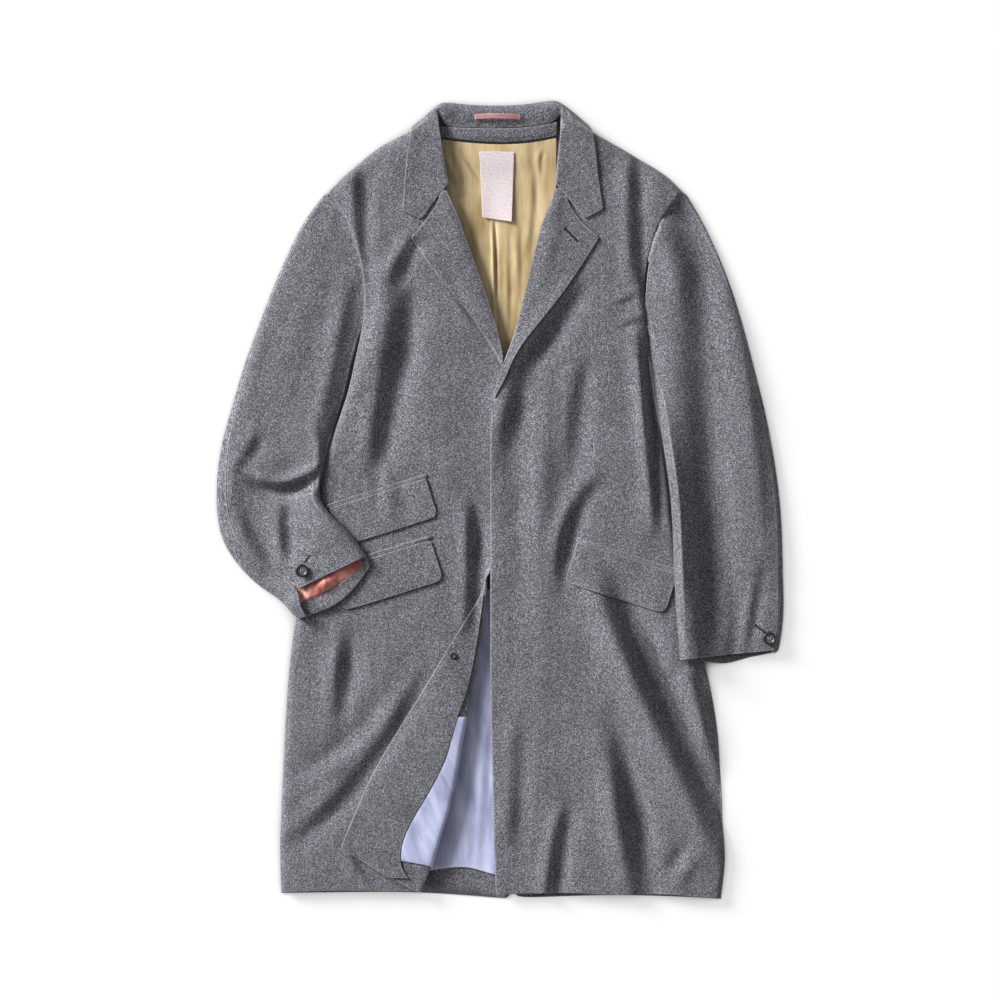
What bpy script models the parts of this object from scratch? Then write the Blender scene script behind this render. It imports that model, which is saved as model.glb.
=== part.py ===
"""Chesterfield coat laid flat on a surface, its right skirt corner turned back.

Metres, +Z up, +Y towards the collar, -Z is the surface the coat lies on.
Right and left are the wearer's: the wearer's right is at -X.
The tables and functions below work in millimetres.
"""

import math

import bpy
import numpy as np
from mathutils import Vector
from mathutils.bvhtree import BVHTree

MM = 0.001

WOOL = 1.8  # walls
LINING = 1.0
LOOP = 1.2
DOUBLE_WOOL = 2.4  # lapels, collar and flaps: two cloths
SEAM_GAP = 0.3
HEAD_GAP = 0.8  # between the armhole and the sleeve head
LAY_GAP = 0.5  # air under a piece that lies on another
FRONT_HEIGHT = 14.0  # mid-wall of the left front over the floor
UNDERLAP_DROP = 3.6  # the right front's edge lies this much lower, under the left
SIDE_SEAM = 4.1  # height of the side, shoulder and sleeve seams
TURN_RADIUS = 2.4  # roll of the turned-back corner
NECK_LIFT = 3.3  # the collar's fall lies under the back's neck
BUTTON_DIAMETER = 16.7
BUTTON_HEIGHT = 3.4


def table(names, text):
    """Columns by name, from a header of names and a row of numbers for each line of the text."""
    rows = np.array([[float(v) for v in line.split()] for line in text.strip().splitlines()])
    return {name: rows[:, k] for k, name in enumerate(names.split())}


# Fronts from hem to neck. side: outer edge. edge: free front edge, then the lapel's roll line.
# roll: how far in from the side the cloth starts to bend down to its seam.
FRONT_LEFT = table("y side edge roll", """
    -497 278 -6 11
    -448 285 -8 12
    -414 281 -9 12
    -365 278 -10 12
    -292 275 -12 12
    -201 257 -13 12
    -126 239 -13 12
     -26 217 -13 12
      36 207 -13 12
      87 200 -13 12
     120 194.5 -11 11
     152 189 -1 10
     177 187 4 9
     204 185.5 14 7
     235 181 21 4
     266 181 30 3
     296 184 38 3
     327 191 47 3
     357 204 57 3
     378 221 64 4
     387 230.5 70 7
     411 205 72.5 15
     427 178 74 17
     443 152 75.5 17
     457 126 77.5 15
     465 111 79.5 13
     473 97 82 9
""")

# turn: angle that the strip beyond the fold line is turned back by. strip: its width along the cloth.
FRONT_RIGHT = table("y side fold strip turn roll", """
    -493 -277 -99 13 180 11
    -476 -278 -94 51 180 11
    -463 -278.5 -88.5 78 180 12
    -438 -279 -81.5 125 180 12
    -413 -278.5 -74.5 122 180 12
    -365 -276 -60 117 180 12
    -327 -274 -54 103 180 12
    -298 -272.5 -49 91 180 12
    -238 -270 -36 66 180 12
    -176 -263.5 -25 41 180 12
    -142 -258 -21 23 180 12
    -118 -253 -18.5 11 180 12
    -104 -250.5 -17.5 8 180 12
     -96 -249 -18 8 100 12
     -86 -246.5 -16.5 8.5 0 12
     -40 -235.5 -5 9 0 12
      26 -225.5 7 9 0 12
      68 -215 11 9 0 11
     109 -202 12 9 0 10
     140 -191 8 9 0 10
     177 -184 0 9 0 9
     208 -176 -12 9 0 7
     240 -171 -21 9 0 4
     267 -171 -30 9 0 3
     296 -175 -41 9 0 3
     327 -183 -54 9 0 3
     356 -194 -65 9 0 3
     386 -218.5 -77 9 0 7
     404 -202 -80 9 0 15
     428 -174 -83 9 0 17
     445 -153 -85 9 0 17
     465 -112 -89 9 0 13
     473 -99 -91 9 0 9
""")

CENTRE_BACK = table("y x", """
    -502 14
    -300 8
     100 0
     449 0
""")
VENT_HALF_WIDTH, VENT_HEIGHT = 6.0, 7.0

# Hem lines, from the wearer's right side to the left one.
BACK_HEM = table("x y", """
    -279 -494.5
    -220 -494
    -120 -492.5
     -55 -496
      10 -501.5
     120 -497
     190 -497
     235 -500.5
     279 -502
""")
FRONT_HEM = table("x y", """
    -279 -492.5
    -190 -490.5
     -99 -492
      -8 -495.5
      70 -493.5
     150 -496
     215 -495
     240 -499
     279 -500
""")

FOLD_COLUMNS = "x0 y0 x1 y1 x2 y2 width height"
BODY_FOLDS = table(FOLD_COLUMNS, """
    -162  422 -175  366 -181  322  9 -2.5
    -112  322 -127  303 -142  283  9 -2.2
    -124  271 -142  189 -160  126 17 -5.0
    -155  133 -160   82 -170   36 15 -4.5
    -153  378 -155  265 -151  225 11  3.0
    -167  196 -182  154 -202  101 10  2.5
     -41    3  -34  -44  -34 -123 10 -3.5
     169  422  165  347  182  240 10 -4.0
      90  278   56  230   24  187 12 -3.5
      97  167   87   89   72  -50 13 -3.5
      56  126   42   26   44  -75 16  4.0
      42 -126   41 -239   56 -365 14  3.0
     135 -113  176 -206  226 -321 12 -6.0
     216 -296  241 -352  262 -409 10 -3.5
     120 -123  155 -208  203 -346 13  5.0
     203 -176  239 -252  258 -340 12  3.5
     149 -296  158 -365  176 -485 10 -3.5
      80 -391   71 -447   67 -499 10 -3.5
     113 -365  123 -428  125 -495 12  3.5
     201 -378  216 -441  221 -497 12  3.5
    -223 -174 -194 -220 -211 -277 10 -4.0
     -98 -195 -146 -307 -258 -422 11 -5.0
    -127 -208 -171 -277 -221 -305 12  4.0
    -187 -393 -209 -409 -234 -431 11  3.0
    -240 -428 -238 -460 -233 -491 12  2.5
""")
SLEEVE_RIGHT_FOLDS = table(FOLD_COLUMNS, """
    -273   41 -253   57 -236   91  8 -3.5
    -316   31 -273   17 -226   24  8 -9.0
    -273  -27 -287  -55 -306  -83  8 -4.0
    -263    5 -288  -19 -316  -45 11  4.0
    -328   76 -336   32 -331  -12 14  3.5
    -230  328 -253  240 -273  152 14  3.0
    -200  320 -218  227 -242  139 10 -3.0
""")
SLEEVE_LEFT_FOLDS = table(FOLD_COLUMNS, """
     241  328  235  177  239    0 14 -4.5
     239   13  242  -88  245 -182 12 -3.5
     200  262  211  101  226  -75 10  3.0
     274  278  299  101  318 -113 15  3.5
     293 -134  298 -160  296 -182  9 -3.0
     239  375  228  357  216  338  9 -2.5
""")

# Sleeve sections from the armhole to the cuff, outer edge to inner edge.
# bow: how much of the armhole's curve the section keeps. bulge: the section's own bow.
# seam: share of the width at which the hindarm seam lies on the upper side.
# rise: depth of the tube. over: 1 where it lies over the body.
SLEEVE_COLUMNS = "xo yo xi yi bow bulge seam rise roll over"
SLEEVE_RIGHT = table(SLEEVE_COLUMNS, """
    -219 386.5 -171.5 238 1    0  0.03  8.4  7 0
    -246 354   -174   224 0.75 0  0.03 10   10 0
    -267 311   -178   210 0.42 0  0.03 12   12 0
    -287 265   -181.5 194 0.15 0  0.03 13   13 0
    -308 208   -188   171 0    0  0.03 14   14 0
    -323 168   -192.6 145 0    0  0.04 14   14 0
    -336 122   -202.8 114 0    0  0.05 15   14 0
    -350  76   -213    83 0    0  0.07 16   14 0
    -356  38   -223.6  47 0    0  0.09 17   14 0.5
    -357  10   -228.4  24 0    0  0.10 16   14 1
    -357 -15   -229     4 0    0  0.11 14   13 1
    -352 -45   -221   -11 0    0  0.13 14   13 1
    -340 -68   -208   -25 0    0  0.15 14   12 1
    -322 -91   -194   -38 0    0  0.18 13   11 1
    -302 -109  -181   -53 0    0  0.21 12   10 1
    -279 -123  -169   -70 0    0  0.24 11    8 1
    -254 -148  -165   -84 0   15  0.10 10    6 1
""")
SLEEVE_LEFT = table(SLEEVE_COLUMNS, """
     231 387   181.5 234 1    0 0.03  8.4  7 0
     251 356   184   222 0.75 0 0.03 10   10 0
     270 317   187   210 0.42 0 0.03 12   12 0
     290 268   188.5   194 0.15 0 0.03 13   13 0
     308 208   190   172 0    0 0.03 14   14 0
     322 152   194   140 0    0 0.04 15   14 0
     334 105   200.5 102 0    0 0.04 15   14 0.5
     344  51   208    51 0    0 0.04 15   14 1
     351   0   215     0 0    0 0.04 15   14 1
     354 -50   217   -50 0    0 0.04 15   13 1
     354.5 -98 219  -103 0    0 0.05 14   12 1
     356 -130  221  -143 0    0 0.05 13   11 1
     354 -163  224  -175 0    0 0.05 12   10 1
     349.5 -188 226 -200 0    0 0.05 11    8 1
     346 -191  230  -201 0    5 0.05 10    6 1
""")
CUFF_HEM_START = 0.52  # share of the last stretch where the turned-in hem starts

# Lapels from the break point up the gorge. roll: along the roll line. outer: edge, notch and gorge.
LAPEL_RIGHT = table("y roll outer", """
     172   2   -1
     181   3   -5.5
     204  -1.5 -20
     234 -10.5 -38
     257 -18  -58
     279 -26  -76
     302 -34  -94
     319 -40 -105
     331 -45 -113
     347 -50  -97.5
     362 -56  -87.5
     377 -62  -77.5
     386 -65.5 -71
""")
LAPEL_LEFT = table("y roll outer", """
     129 -11  -8
     141  -7  -1
     152  -3   5
     172   3.5 13
     193  12  24
     212  18  39
     235  24  58
     260  30  78
     288  37  97
     310  42 111
     330  47 124
     346  51 104.5
     361  57  93
     377  62  82
     387  65.5 74
""")

# Collar round the neck, from the right gorge to the left one.
# s: stand seam. c: crest. k: turn of the crest. m: middle of the fall. e: its edge. lies: 1 on the fronts.
COLLAR = table("xs ys zs xc yc zc xk yk zk xm ym zm xe ye ze lies", """
    -68 396   10.5 -69 396   16   -73.5 391.5   16.6  -99 353.5 15.5 -124 364   15   1
    -71.5 423   10.5 -72.5 423   16   -77   419   16.8  -98.5 399   16   -120.6 404   15   1
    -76.5 457   11   -77   457.5 16   -82   455   17    -98.5 446   16.5 -117.3 438   15   1
    -79   476   11.5 -79.5 477   16   -84   474.5 17    -97.5 466   16.5 -114.5 455   15   1
    -79   487   12   -80   491   15   -86   488.5 14.5  -97   480   11.5 -112.4 468   10.5 0
    -76   484   11.5 -76   494   15.5 -79.5 496   10    -88   486   5    -102   474    4.2 0
    -68   471    9   -69   493.5 15.5 -71   499.8  9    -77   489   2.2   -90   462    1.4 0
    -52   469.5  8.8 -54   491   15.5 -54   498.2  9    -56   487   1.8   -60   447    1.4 0
    -34   469    8.6 -34   489.5 15.5 -34   496.3  9    -35   485   1.6   -36   443    1.4 0
    -16   468.7  8.6 -17   489   15.5 -17   495.7  9    -17.5 484   1.6   -18   441    1.4 0
       2  469    8.6   1   489   15.5   1   495.6  9      0.5 484   1.6     0   441    1.4 0
      19  469.6  8.6  18   489.5 15.5  18   496.2  9     18   485   1.6    18   442    1.4 0
      36  470.8  8.8  36   491   15.5  36   497.8  9     37   486   1.6    38   444    1.4 0
      53  473    8.8  53   494   15.5  54   500.8  9     56   489   1.8    60   449    1.4 0
      65  476    9    66   496   15.5  67   502.2  9     73   491   2.2    86   464    1.4 0
      73  484   11.5  73   495.5 15.5  76   499    10    87   490   5     101   476    4.2 0
      76.5 486  12    76.5 492   15    82   491    14.5  96   481  11.5   113   468   10.5 0
      76.5 477  11.5  77   478   16    82   475    17     97   467  16.5  117   453   15   1
      75.5 457  11    76   458   16    81   455    17     98   446  16.5  119.5 438   15   1
      72.5 432  10.5  73.5 432   16    78   427    16.8   99   400  16    123.5 400   15   1
      69.5 396  10.5 70.5 396   16    75   391.5 16.6  105.5 353.5 15.5 129 366   15   1
""")

STAND_SEAM = table("x lower upper", """
    -77 457.5 470.5
    -50 453.5 468.2
    -20 451   467.4
       2 450.2 467.5
      25 451.2 468.4
      50 454.5 471.2
      72 459   476
""")

# Flaps: a and b are the ends of the top edge, near the front edge and at the side.
FLAPS = {
    "ticket": ((-94, 28), (-216, -10), 51),
    "right": ((-88, -49), (-214, -88), 54),
    "left": ((96, -52), (222, -92), 53),
}
FLAP_CORNER = 9.0
JET_WIDTH = 5.0


def through(xs, ys, at):
    """Smooth curve through the rows of a table, without overshoot."""
    xs, ys = np.asarray(xs, float), np.asarray(ys, float)
    step = np.diff(xs)
    rise = np.diff(ys) / step
    product = rise[1:] * rise[:-1]
    total = rise[1:] + rise[:-1]
    safe = np.where(np.abs(total) > 1e-9, total, 1.0)
    inner = np.where(product > 0, 2 * product / safe, 0.0)
    slope = np.concatenate([[rise[0]], inner, [rise[-1]]])
    at = np.clip(np.asarray(at, float), xs[0], xs[-1])
    i = np.clip(np.searchsorted(xs, at, side="right") - 1, 0, len(step) - 1)
    f = (at - xs[i]) / step[i]
    return (
        ys[i] * (1 + 2 * f) * (1 - f) ** 2
        + slope[i] * step[i] * f * (1 - f) ** 2
        + ys[i + 1] * f * f * (3 - 2 * f)
        - slope[i + 1] * step[i] * f * f * (1 - f)
    )


def steps_between(stops, spacing):
    """Every stop, with even steps of about the spacing between them."""
    values = [stops[0]]
    for a, b in zip(stops[:-1], stops[1:]):
        count = max(1, round(abs(b - a) / spacing))
        values += [a + (b - a) * (k + 1) / count for k in range(count)]
    return np.array(values)


def smooth_step(low, high, value):
    f = np.clip((np.asarray(value, float) - low) / (high - low), 0, 1)
    return f * f * (3 - 2 * f)


def bend(distance, width):
    """Rises from 0 at an edge to 1 at the width, round like a quarter of an ellipse."""
    f = np.clip(1 - np.asarray(distance, float) / np.maximum(width, 1e-6), 0, 1)
    return np.sqrt(1 - f * f)


def relief(folds, x, y):
    """Height that soft folds add at a point. Each follows a curve through three points."""
    x, y = np.asarray(x, float), np.asarray(y, float)
    total = np.zeros(np.broadcast(x, y).shape)
    pieces = 8
    for k in range(len(folds["x0"])):
        row = {name: column[k] for name, column in folds.items()}
        nearest = np.full(total.shape, 1e9)
        along = np.zeros(total.shape)
        u = np.linspace(0, 1, pieces + 1)
        px = row["x0"] * (1 - u) ** 2 + 2 * row["x1"] * u * (1 - u) + row["x2"] * u * u
        py = row["y0"] * (1 - u) ** 2 + 2 * row["y1"] * u * (1 - u) + row["y2"] * u * u
        for j in range(pieces):
            dx, dy = px[j + 1] - px[j], py[j + 1] - py[j]
            f = np.clip(((x - px[j]) * dx + (y - py[j]) * dy) / (dx * dx + dy * dy), 0, 1)
            d = np.hypot(x - px[j] - f * dx, y - py[j] - f * dy)
            closer = d < nearest
            nearest = np.where(closer, d, nearest)
            along = np.where(closer, (j + f) / pieces, along)
        taper = np.sin(math.pi * (0.08 + 0.84 * along)) ** 0.7
        total += row["height"] * taper * np.exp(-((nearest / row["width"]) ** 2))
    return total


NECK_ROWS = [404.0, 416.0, 425.0, 434.0, 449.0]


def neck_lift(x, y):
    """The back's neck lies on the collar's fall."""
    across = 1 - smooth_step(120, 150, np.abs(x))
    return NECK_LIFT * smooth_step(408, 434, y) * across


def clear_scene():
    for obj in list(bpy.data.objects):
        bpy.data.objects.remove(obj, do_unlink=True)


def new_collection(name, hidden=False):
    collection = bpy.data.collections.new(name)
    bpy.context.scene.collection.children.link(collection)
    collection.hide_render = hidden
    return collection


def paint(name, colour, roughness):
    material = bpy.data.materials.new(name)
    material.use_nodes = True
    shader = material.node_tree.nodes["Principled BSDF"]
    shader.inputs["Base Color"].default_value = (*colour, 1.0)
    shader.inputs["Roughness"].default_value = roughness
    shader.inputs["Metallic"].default_value = 0.0
    material.diffuse_color = (*colour, 1.0)
    return material


clear_scene()
COAT = new_collection("chesterfield_coat")
CUTTERS = new_collection("cutters", hidden=True)

PALETTE = {
    "wool": ((0.16, 0.16, 0.18), 0.9),
    "beige": ((0.53, 0.42, 0.25), 0.5),
    "lavender": ((0.36, 0.39, 0.55), 0.5),
    "coral": ((0.45, 0.13, 0.10), 0.5),
    "pink": ((0.62, 0.30, 0.31), 0.6),
    "white": ((0.76, 0.70, 0.71), 0.7),
    "horn": ((0.012, 0.012, 0.015), 0.35),
}


def own_paint(name, kind):
    colour, roughness = PALETTE[kind]
    return paint(name + "_" + kind, colour, roughness)


def sheet(name, grid, wall, kind):
    """An open surface through a grid of points, with Solidify for its wall."""
    rows, columns = grid.shape[:2]
    faces = []
    for r in range(rows - 1):
        for c in range(columns - 1):
            corner = r * columns + c
            faces.append((corner, corner + 1, corner + columns + 1, corner + columns))
    mesh = bpy.data.meshes.new(name)
    mesh.from_pydata((grid.reshape(-1, 3) * MM).tolist(), [], faces)
    mesh.materials.append(own_paint(name, kind))
    mesh.shade_smooth()
    obj = bpy.data.objects.new(name, mesh)
    COAT.objects.link(obj)
    solidify = obj.modifiers.new("Wall", "SOLIDIFY")
    solidify.thickness = wall * MM
    solidify.offset = 0.0
    return obj


def trees(*objects):
    """Ray-cast trees of finished pieces, for what lies on them."""
    bpy.context.view_layer.update()
    graph = bpy.context.evaluated_depsgraph_get()
    return [BVHTree.FromObject(obj, graph) for obj in objects]


def rest(below, x, y, level=6.0, reach=9.0, slope=0.3):
    """Height in mm that cloth finds at each point when it is laid on the pieces below.

    It is level with the highest point near by, then falls off at the slope up to the reach.
    """
    flat_x, flat_y = np.ravel(x), np.ravel(y)
    found = np.zeros(len(flat_x))
    down = Vector((0, 0, -1))
    for k in range(len(flat_x)):
        for ring, count in ((0.0, 1), (level / 2, 6), (level, 8), ((level + reach) / 2, 10), (reach, 12)):
            for n in range(count):
                angle = math.tau * n / count
                px = flat_x[k] + ring * math.cos(angle)
                py = flat_y[k] + ring * math.sin(angle)
                start = Vector((px * MM, py * MM, 0.5))
                fall = slope * max(0.0, ring - level)
                for tree in below:
                    hit = tree.ray_cast(start, down)[0]
                    if hit is not None:
                        found[k] = max(found[k], hit.z / MM - fall)
    return found.reshape(np.shape(x))


def stack(x, y, z):
    return np.stack(np.broadcast_arrays(x, y, z), axis=-1).astype(float)


def at_hem(hem, x, y, level):
    """Moves the lowest rows so that they end on the hem line."""
    return y + (through(hem["x"], hem["y"], x) - level) * (1 - smooth_step(0, 130, y - level))


def across(edge, side, roll, count, curve=3):
    """Columns from the front edge to the side, closer together where the side bends down."""
    ends = [roll * (1 - math.sin(math.pi / 2 * k / curve)) for k in range(1, curve)]
    flat = np.linspace(0, 1, count + 1)
    width = abs(side - edge)
    distance = np.concatenate([width - flat * (width - roll), ends])
    return side + np.sign(edge - side) * distance, distance


def front_height(x, y, drop):
    hem = 1.5 * (1 - smooth_step(0, 120, y + 498))
    return FRONT_HEIGHT - drop - hem + relief(BODY_FOLDS, x, y) + neck_lift(x, y)


def panel_height(x, y, distance, roll, drop):
    seam = SIDE_SEAM + neck_lift(x, y)
    return seam + (front_height(x, y, drop) - seam) * bend(distance, roll)


def make_back(name, side_sign, front):
    """Half of the back, flat on the surface, bent up at its side to the seams."""
    level = -502.0
    low = [v for v in front["y"] if -440 < v < 230][::3]
    high = [v for v in front["y"] if 230 < v < 390]
    ys = steps_between([level, level + VENT_HEIGHT] + low + high + NECK_ROWS, 90)
    grid = []
    for y in ys:
        side = through(front["y"], front["side"], max(y, front["y"][0]))
        side -= side_sign * HEAD_GAP * smooth_step(225, 245, y) * (1 - smooth_step(384, 392, y))
        centre = through(CENTRE_BACK["y"], CENTRE_BACK["x"], y)
        vent = VENT_HALF_WIDTH * max(0, 1 - (y - level) / VENT_HEIGHT)
        edge = centre + side_sign * (SEAM_GAP / 2 + vent)
        if y > 380:
            edge = centre + side_sign * SEAM_GAP / 2
        x, distance = across(edge, side, 4.5, 4)
        yy = at_hem(BACK_HEM, x, y, level)
        lift = neck_lift(x, yy)
        z = WOOL / 2 + (SIDE_SEAM - SEAM_GAP - WOOL / 2) * (1 - bend(distance, 4.5)) + lift
        grid.append(stack(x, yy, z))
    return sheet(name, np.array(grid), WOOL, "wool")


def make_front_left():
    t = FRONT_LEFT
    level = t["y"][0]
    grid = []
    for y in steps_between(t["y"], 42):
        side, edge, roll = (through(t["y"], t[name], y) for name in ("side", "edge", "roll"))
        if y > 128:
            edge += 3.0
        x, distance = across(edge, side, roll, 12)
        yy = at_hem(FRONT_HEM, x, y, level)
        grid.append(stack(x, yy, panel_height(x, yy, distance, roll, 0)))
    return sheet("front_left", np.array(grid), WOOL, "wool")


def right_fold(y):
    """Fold point, strip width and turn of the right front at a height."""
    t = FRONT_RIGHT
    fold, strip, turn = (through(t["y"], t[name], y) for name in ("fold", "strip", "turn"))
    return fold - TURN_RADIUS, strip, math.radians(turn)


def right_front_drop(x):
    """The right front lies lower where the left one covers it."""
    return UNDERLAP_DROP * smooth_step(-75, -20, x)


def strip_point(y, width, lift=0.0):
    """Point of the strip beyond the fold line, at a width along the cloth, moved out by the lift."""
    start, _, turn = right_fold(y)
    arc = turn * TURN_RADIUS
    angle = min(width / TURN_RADIUS, turn)
    outward = TURN_RADIUS + lift
    x = start + outward * math.sin(angle)
    z = TURN_RADIUS - outward * math.cos(angle)
    if width > arc:
        x += (width - arc) * math.cos(turn)
        z += (width - arc) * math.sin(turn)
    return x, z


def make_front_right():
    t = FRONT_RIGHT
    level = t["y"][0]
    half_turn = math.pi * TURN_RADIUS
    grid = []
    for y in steps_between(t["y"], 42):
        side, roll = (through(t["y"], t[name], y) for name in ("side", "roll"))
        start, strip, turn = right_fold(y)
        x, distance = across(start, side, roll, 10)
        yy = at_hem(FRONT_HEM, x, y, level)
        z = panel_height(x, yy, distance, roll, right_front_drop(x))
        beyond = []
        widths = [half_turn * k / 3 for k in range(1, 4)]
        rest_of_it = strip - half_turn
        widths += [half_turn + rest_of_it * k / 3 for k in range(1, 4)]
        for width in widths[::-1]:
            px, lift = strip_point(y, width)
            py = float(at_hem(FRONT_HEM, px, y, level))
            beyond.append((px, py, float(front_height(px, py, right_front_drop(px))) + lift))
        grid.append(np.concatenate([np.array(beyond), stack(x, yy, z)]))
    return sheet("front_right", np.array(grid), WOOL, "wool")


def on_strip(y, width, lift):
    px, up = strip_point(y, width, lift)
    py = float(at_hem(FRONT_HEM, px, y, FRONT_RIGHT["y"][0]))
    return px, py, float(front_height(px, py, right_front_drop(px))) + up


# The seam between facing and lining, as its share of the turned-back strip's width.
FACING = table("y seam", """
    -490 0.35
    -463 0.49
    -438 0.36
    -413 0.355
    -365 0.24
    -327 0.13
    -298 0.12
    -262 0.115
""")


def facing_seam(y, strip):
    half_turn = math.pi * TURN_RADIUS
    share = float(through(FACING["y"], FACING["seam"], y))
    return half_turn + (strip - half_turn) * share


def make_facing():
    lift = WOOL + LAY_GAP
    grid = []
    for y in steps_between([v for v in FRONT_RIGHT["y"] if -480 < v < -110], 28):
        _, strip, _ = right_fold(y)
        seam = facing_seam(y, strip) if y < -262 else math.pi * TURN_RADIUS + 0.04 * strip
        widths = np.linspace(strip - 0.2, seam + SEAM_GAP, 7)
        grid.append([on_strip(y, w, lift) for w in widths])
    return sheet("facing_right", np.array(grid), WOOL, "wool")


def make_front_lining():
    lift = (WOOL + LINING) / 2 + LAY_GAP + 0.2
    half_turn = math.pi * TURN_RADIUS
    grid = []
    for y in steps_between([-463, -438, -413, -365, -327, -298, -272], 28):
        _, strip, _ = right_fold(y)
        seam = facing_seam(y, strip) - SEAM_GAP
        low = y
        if y < -450:
            low = -452.0
        widths = [half_turn * k / 4 for k in (2, 3, 4)]
        widths += [half_turn + (seam - half_turn) * k / 3 for k in (1, 2, 3)]
        row = [on_strip(y, w, lift) for w in widths]
        if y < -450:
            row = [(px, py + 9.0 * k / 5, pz) for k, (px, py, pz) in enumerate(row)]
        grid.append(row)
    return sheet("lining_front_right", np.array(grid), LINING, "lavender")


def make_back_lining(name, kind, rows, left, right, top_edge=None, hem=None):
    grid = []
    base = WOOL + LAY_GAP + LINING / 2
    xs = np.linspace(left, right, 8)
    for k, y in enumerate(rows):
        yy = np.full(len(xs), float(y))
        if top_edge is not None:
            yy += (through(STAND_SEAM["x"], STAND_SEAM["lower"], xs) - 2.6 - rows[-1]) * (k == len(rows) - 1)
        if hem is not None:
            yy += (hem(xs) - rows[0]) * (1 - k / (len(rows) - 1))
        wave = 1.2 * np.sin(xs / 17.0 + y / 90.0) ** 2
        lifted = neck_lift(xs, np.full(len(xs), float(y)))
        grid.append(stack(xs, yy, base + lifted + wave * (1 - smooth_step(380, 430, yy))))
    return sheet(name, np.array(grid), LINING, kind)


def lower_lining_hem(x):
    return through([-110, -92, -70, -45, -27, -8, 10], [-466, -467, -463, -461, -465.5, -472, -473], x)


def make_lapel(name, t, below):
    """Lapel folded out along the roll line, thicker there, down to its edge."""
    xs_rows, ys_rows = [], []
    for y in steps_between(t["y"], 22):
        roll = float(through(t["y"], t["roll"], y))
        outer = float(np.interp(y, t["y"], t["outer"]))
        share = np.array([0, 0.03, 0.12, 0.3, 0.5, 0.7, 0.86, 1.0])
        xs_rows.append(roll + (outer - roll) * share)
        ys_rows.append(np.full(len(share), y))
    x, y = np.array(xs_rows), np.array(ys_rows)
    width = np.abs(x - x[:, :1])
    whole = np.maximum(width[:, -1:], 1.0)
    z = rest(below, x, y, level=7.0, reach=12.0, slope=0.2) + LAY_GAP + DOUBLE_WOOL / 2
    puff = 2.2 * np.exp(-((width - 9) / 9.0) ** 2) * smooth_step(6, 30, whole)
    z = z + puff
    return sheet(name, stack(x, y, z), DOUBLE_WOOL, "wool")


def spline(points, count):
    """Smooth curve through points, spaced by the roots of their distances."""
    points = np.asarray(points, float)
    knots = np.concatenate([[0], np.cumsum(np.sqrt(np.linalg.norm(np.diff(points, axis=0), axis=1)))])
    at = np.linspace(0, knots[-1], count)
    slopes = np.gradient(points, knots, axis=0)
    i = np.clip(np.searchsorted(knots, at, side="right") - 1, 0, len(knots) - 2)
    step = (knots[i + 1] - knots[i])[:, None]
    f = ((at - knots[i]) / step[:, 0])[:, None]
    return (
        points[i] * (1 + 2 * f) * (1 - f) ** 2
        + slopes[i] * step * f * (1 - f) ** 2
        + points[i + 1] * f * f * (3 - 2 * f)
        - slopes[i + 1] * step * f * f * (1 - f)
    )


def collar_sections(per_row):
    """Sections of the collar, with in-between ones that ease from row to row."""
    count = len(COLLAR["xs"])
    rows = np.arange(count, dtype=float)
    sections = []
    for u in np.linspace(0, count - 1, (count - 1) * per_row + 1):
        row = {name: float(through(rows, column, u)) for name, column in COLLAR.items()}
        points = [[row[a + b] for a in "xyz"] for b in "sckme"]
        sections.append((points, row["lies"]))
    return sections


def make_collar(below):
    grid, lies = [], []
    for points, weight in collar_sections(2):
        stand, crest, knee, middle, edge = np.array(points)
        curve = np.concatenate([
            spline([stand, crest, knee], 5),
            [knee + (middle - knee) * f for f in (0.5, 1.0)],
            [middle + (edge - middle) * f for f in (0.5, 1.0)],
        ])
        curve[:, 2] = np.maximum(curve[:, 2], DOUBLE_WOOL / 2 + 0.1)
        grid.append(curve)
        lies.append(weight)
    grid = np.array(grid)
    weight = smooth_step(0, 0.3, np.array(lies))[:, None] * smooth_step(0, 1, np.arange(9))[None, :]
    floor = rest(below, grid[..., 0], grid[..., 1], level=6.0) + LAY_GAP + 0.2 + DOUBLE_WOOL / 2
    raised = np.maximum(grid[..., 2], floor)
    grid[..., 2] += (raised - grid[..., 2]) * weight
    return sheet("collar", grid, DOUBLE_WOOL, "wool")


def make_stand():
    xs = np.linspace(-76, 71, 17)
    lower = through(STAND_SEAM["x"], STAND_SEAM["lower"], xs) + 0.6
    upper = through(STAND_SEAM["x"], STAND_SEAM["upper"], xs) + 0.3
    grid = []
    for f in (0, 0.33, 0.67, 1):
        z = 5.9 + 2.6 * f + 0.6 * math.sin(math.pi * f)
        grid.append(stack(xs, lower + (upper - lower) * f, z))
    return sheet("collar_stand", np.array(grid), WOOL, "wool")


def sleeve_rows(t, spacing):
    """Sections at every row of the table and at the cuff's hem, with even steps between."""
    count = len(t["xo"])
    stops = sorted([*range(count), count - 2 + CUFF_HEM_START])
    values = [stops[0]]
    for a, b in zip(stops[:-1], stops[1:]):
        xa, xb = np.interp([a, b], range(count), t["xo"])
        ya, yb = np.interp([a, b], range(count), t["yo"])
        parts = max(1, round(math.hypot(xb - xa, yb - ya) / spacing))
        values += [a + (b - a) * (k + 1) / parts for k in range(parts)]
    return values


def armhole(front, s, t):
    """Point of the front's armhole edge, at a share of its length from the shoulder."""
    y = t["yo"][0] + (t["yi"][0] - t["yo"][0]) * s
    return through(front["y"], front["side"], y), y


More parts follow.
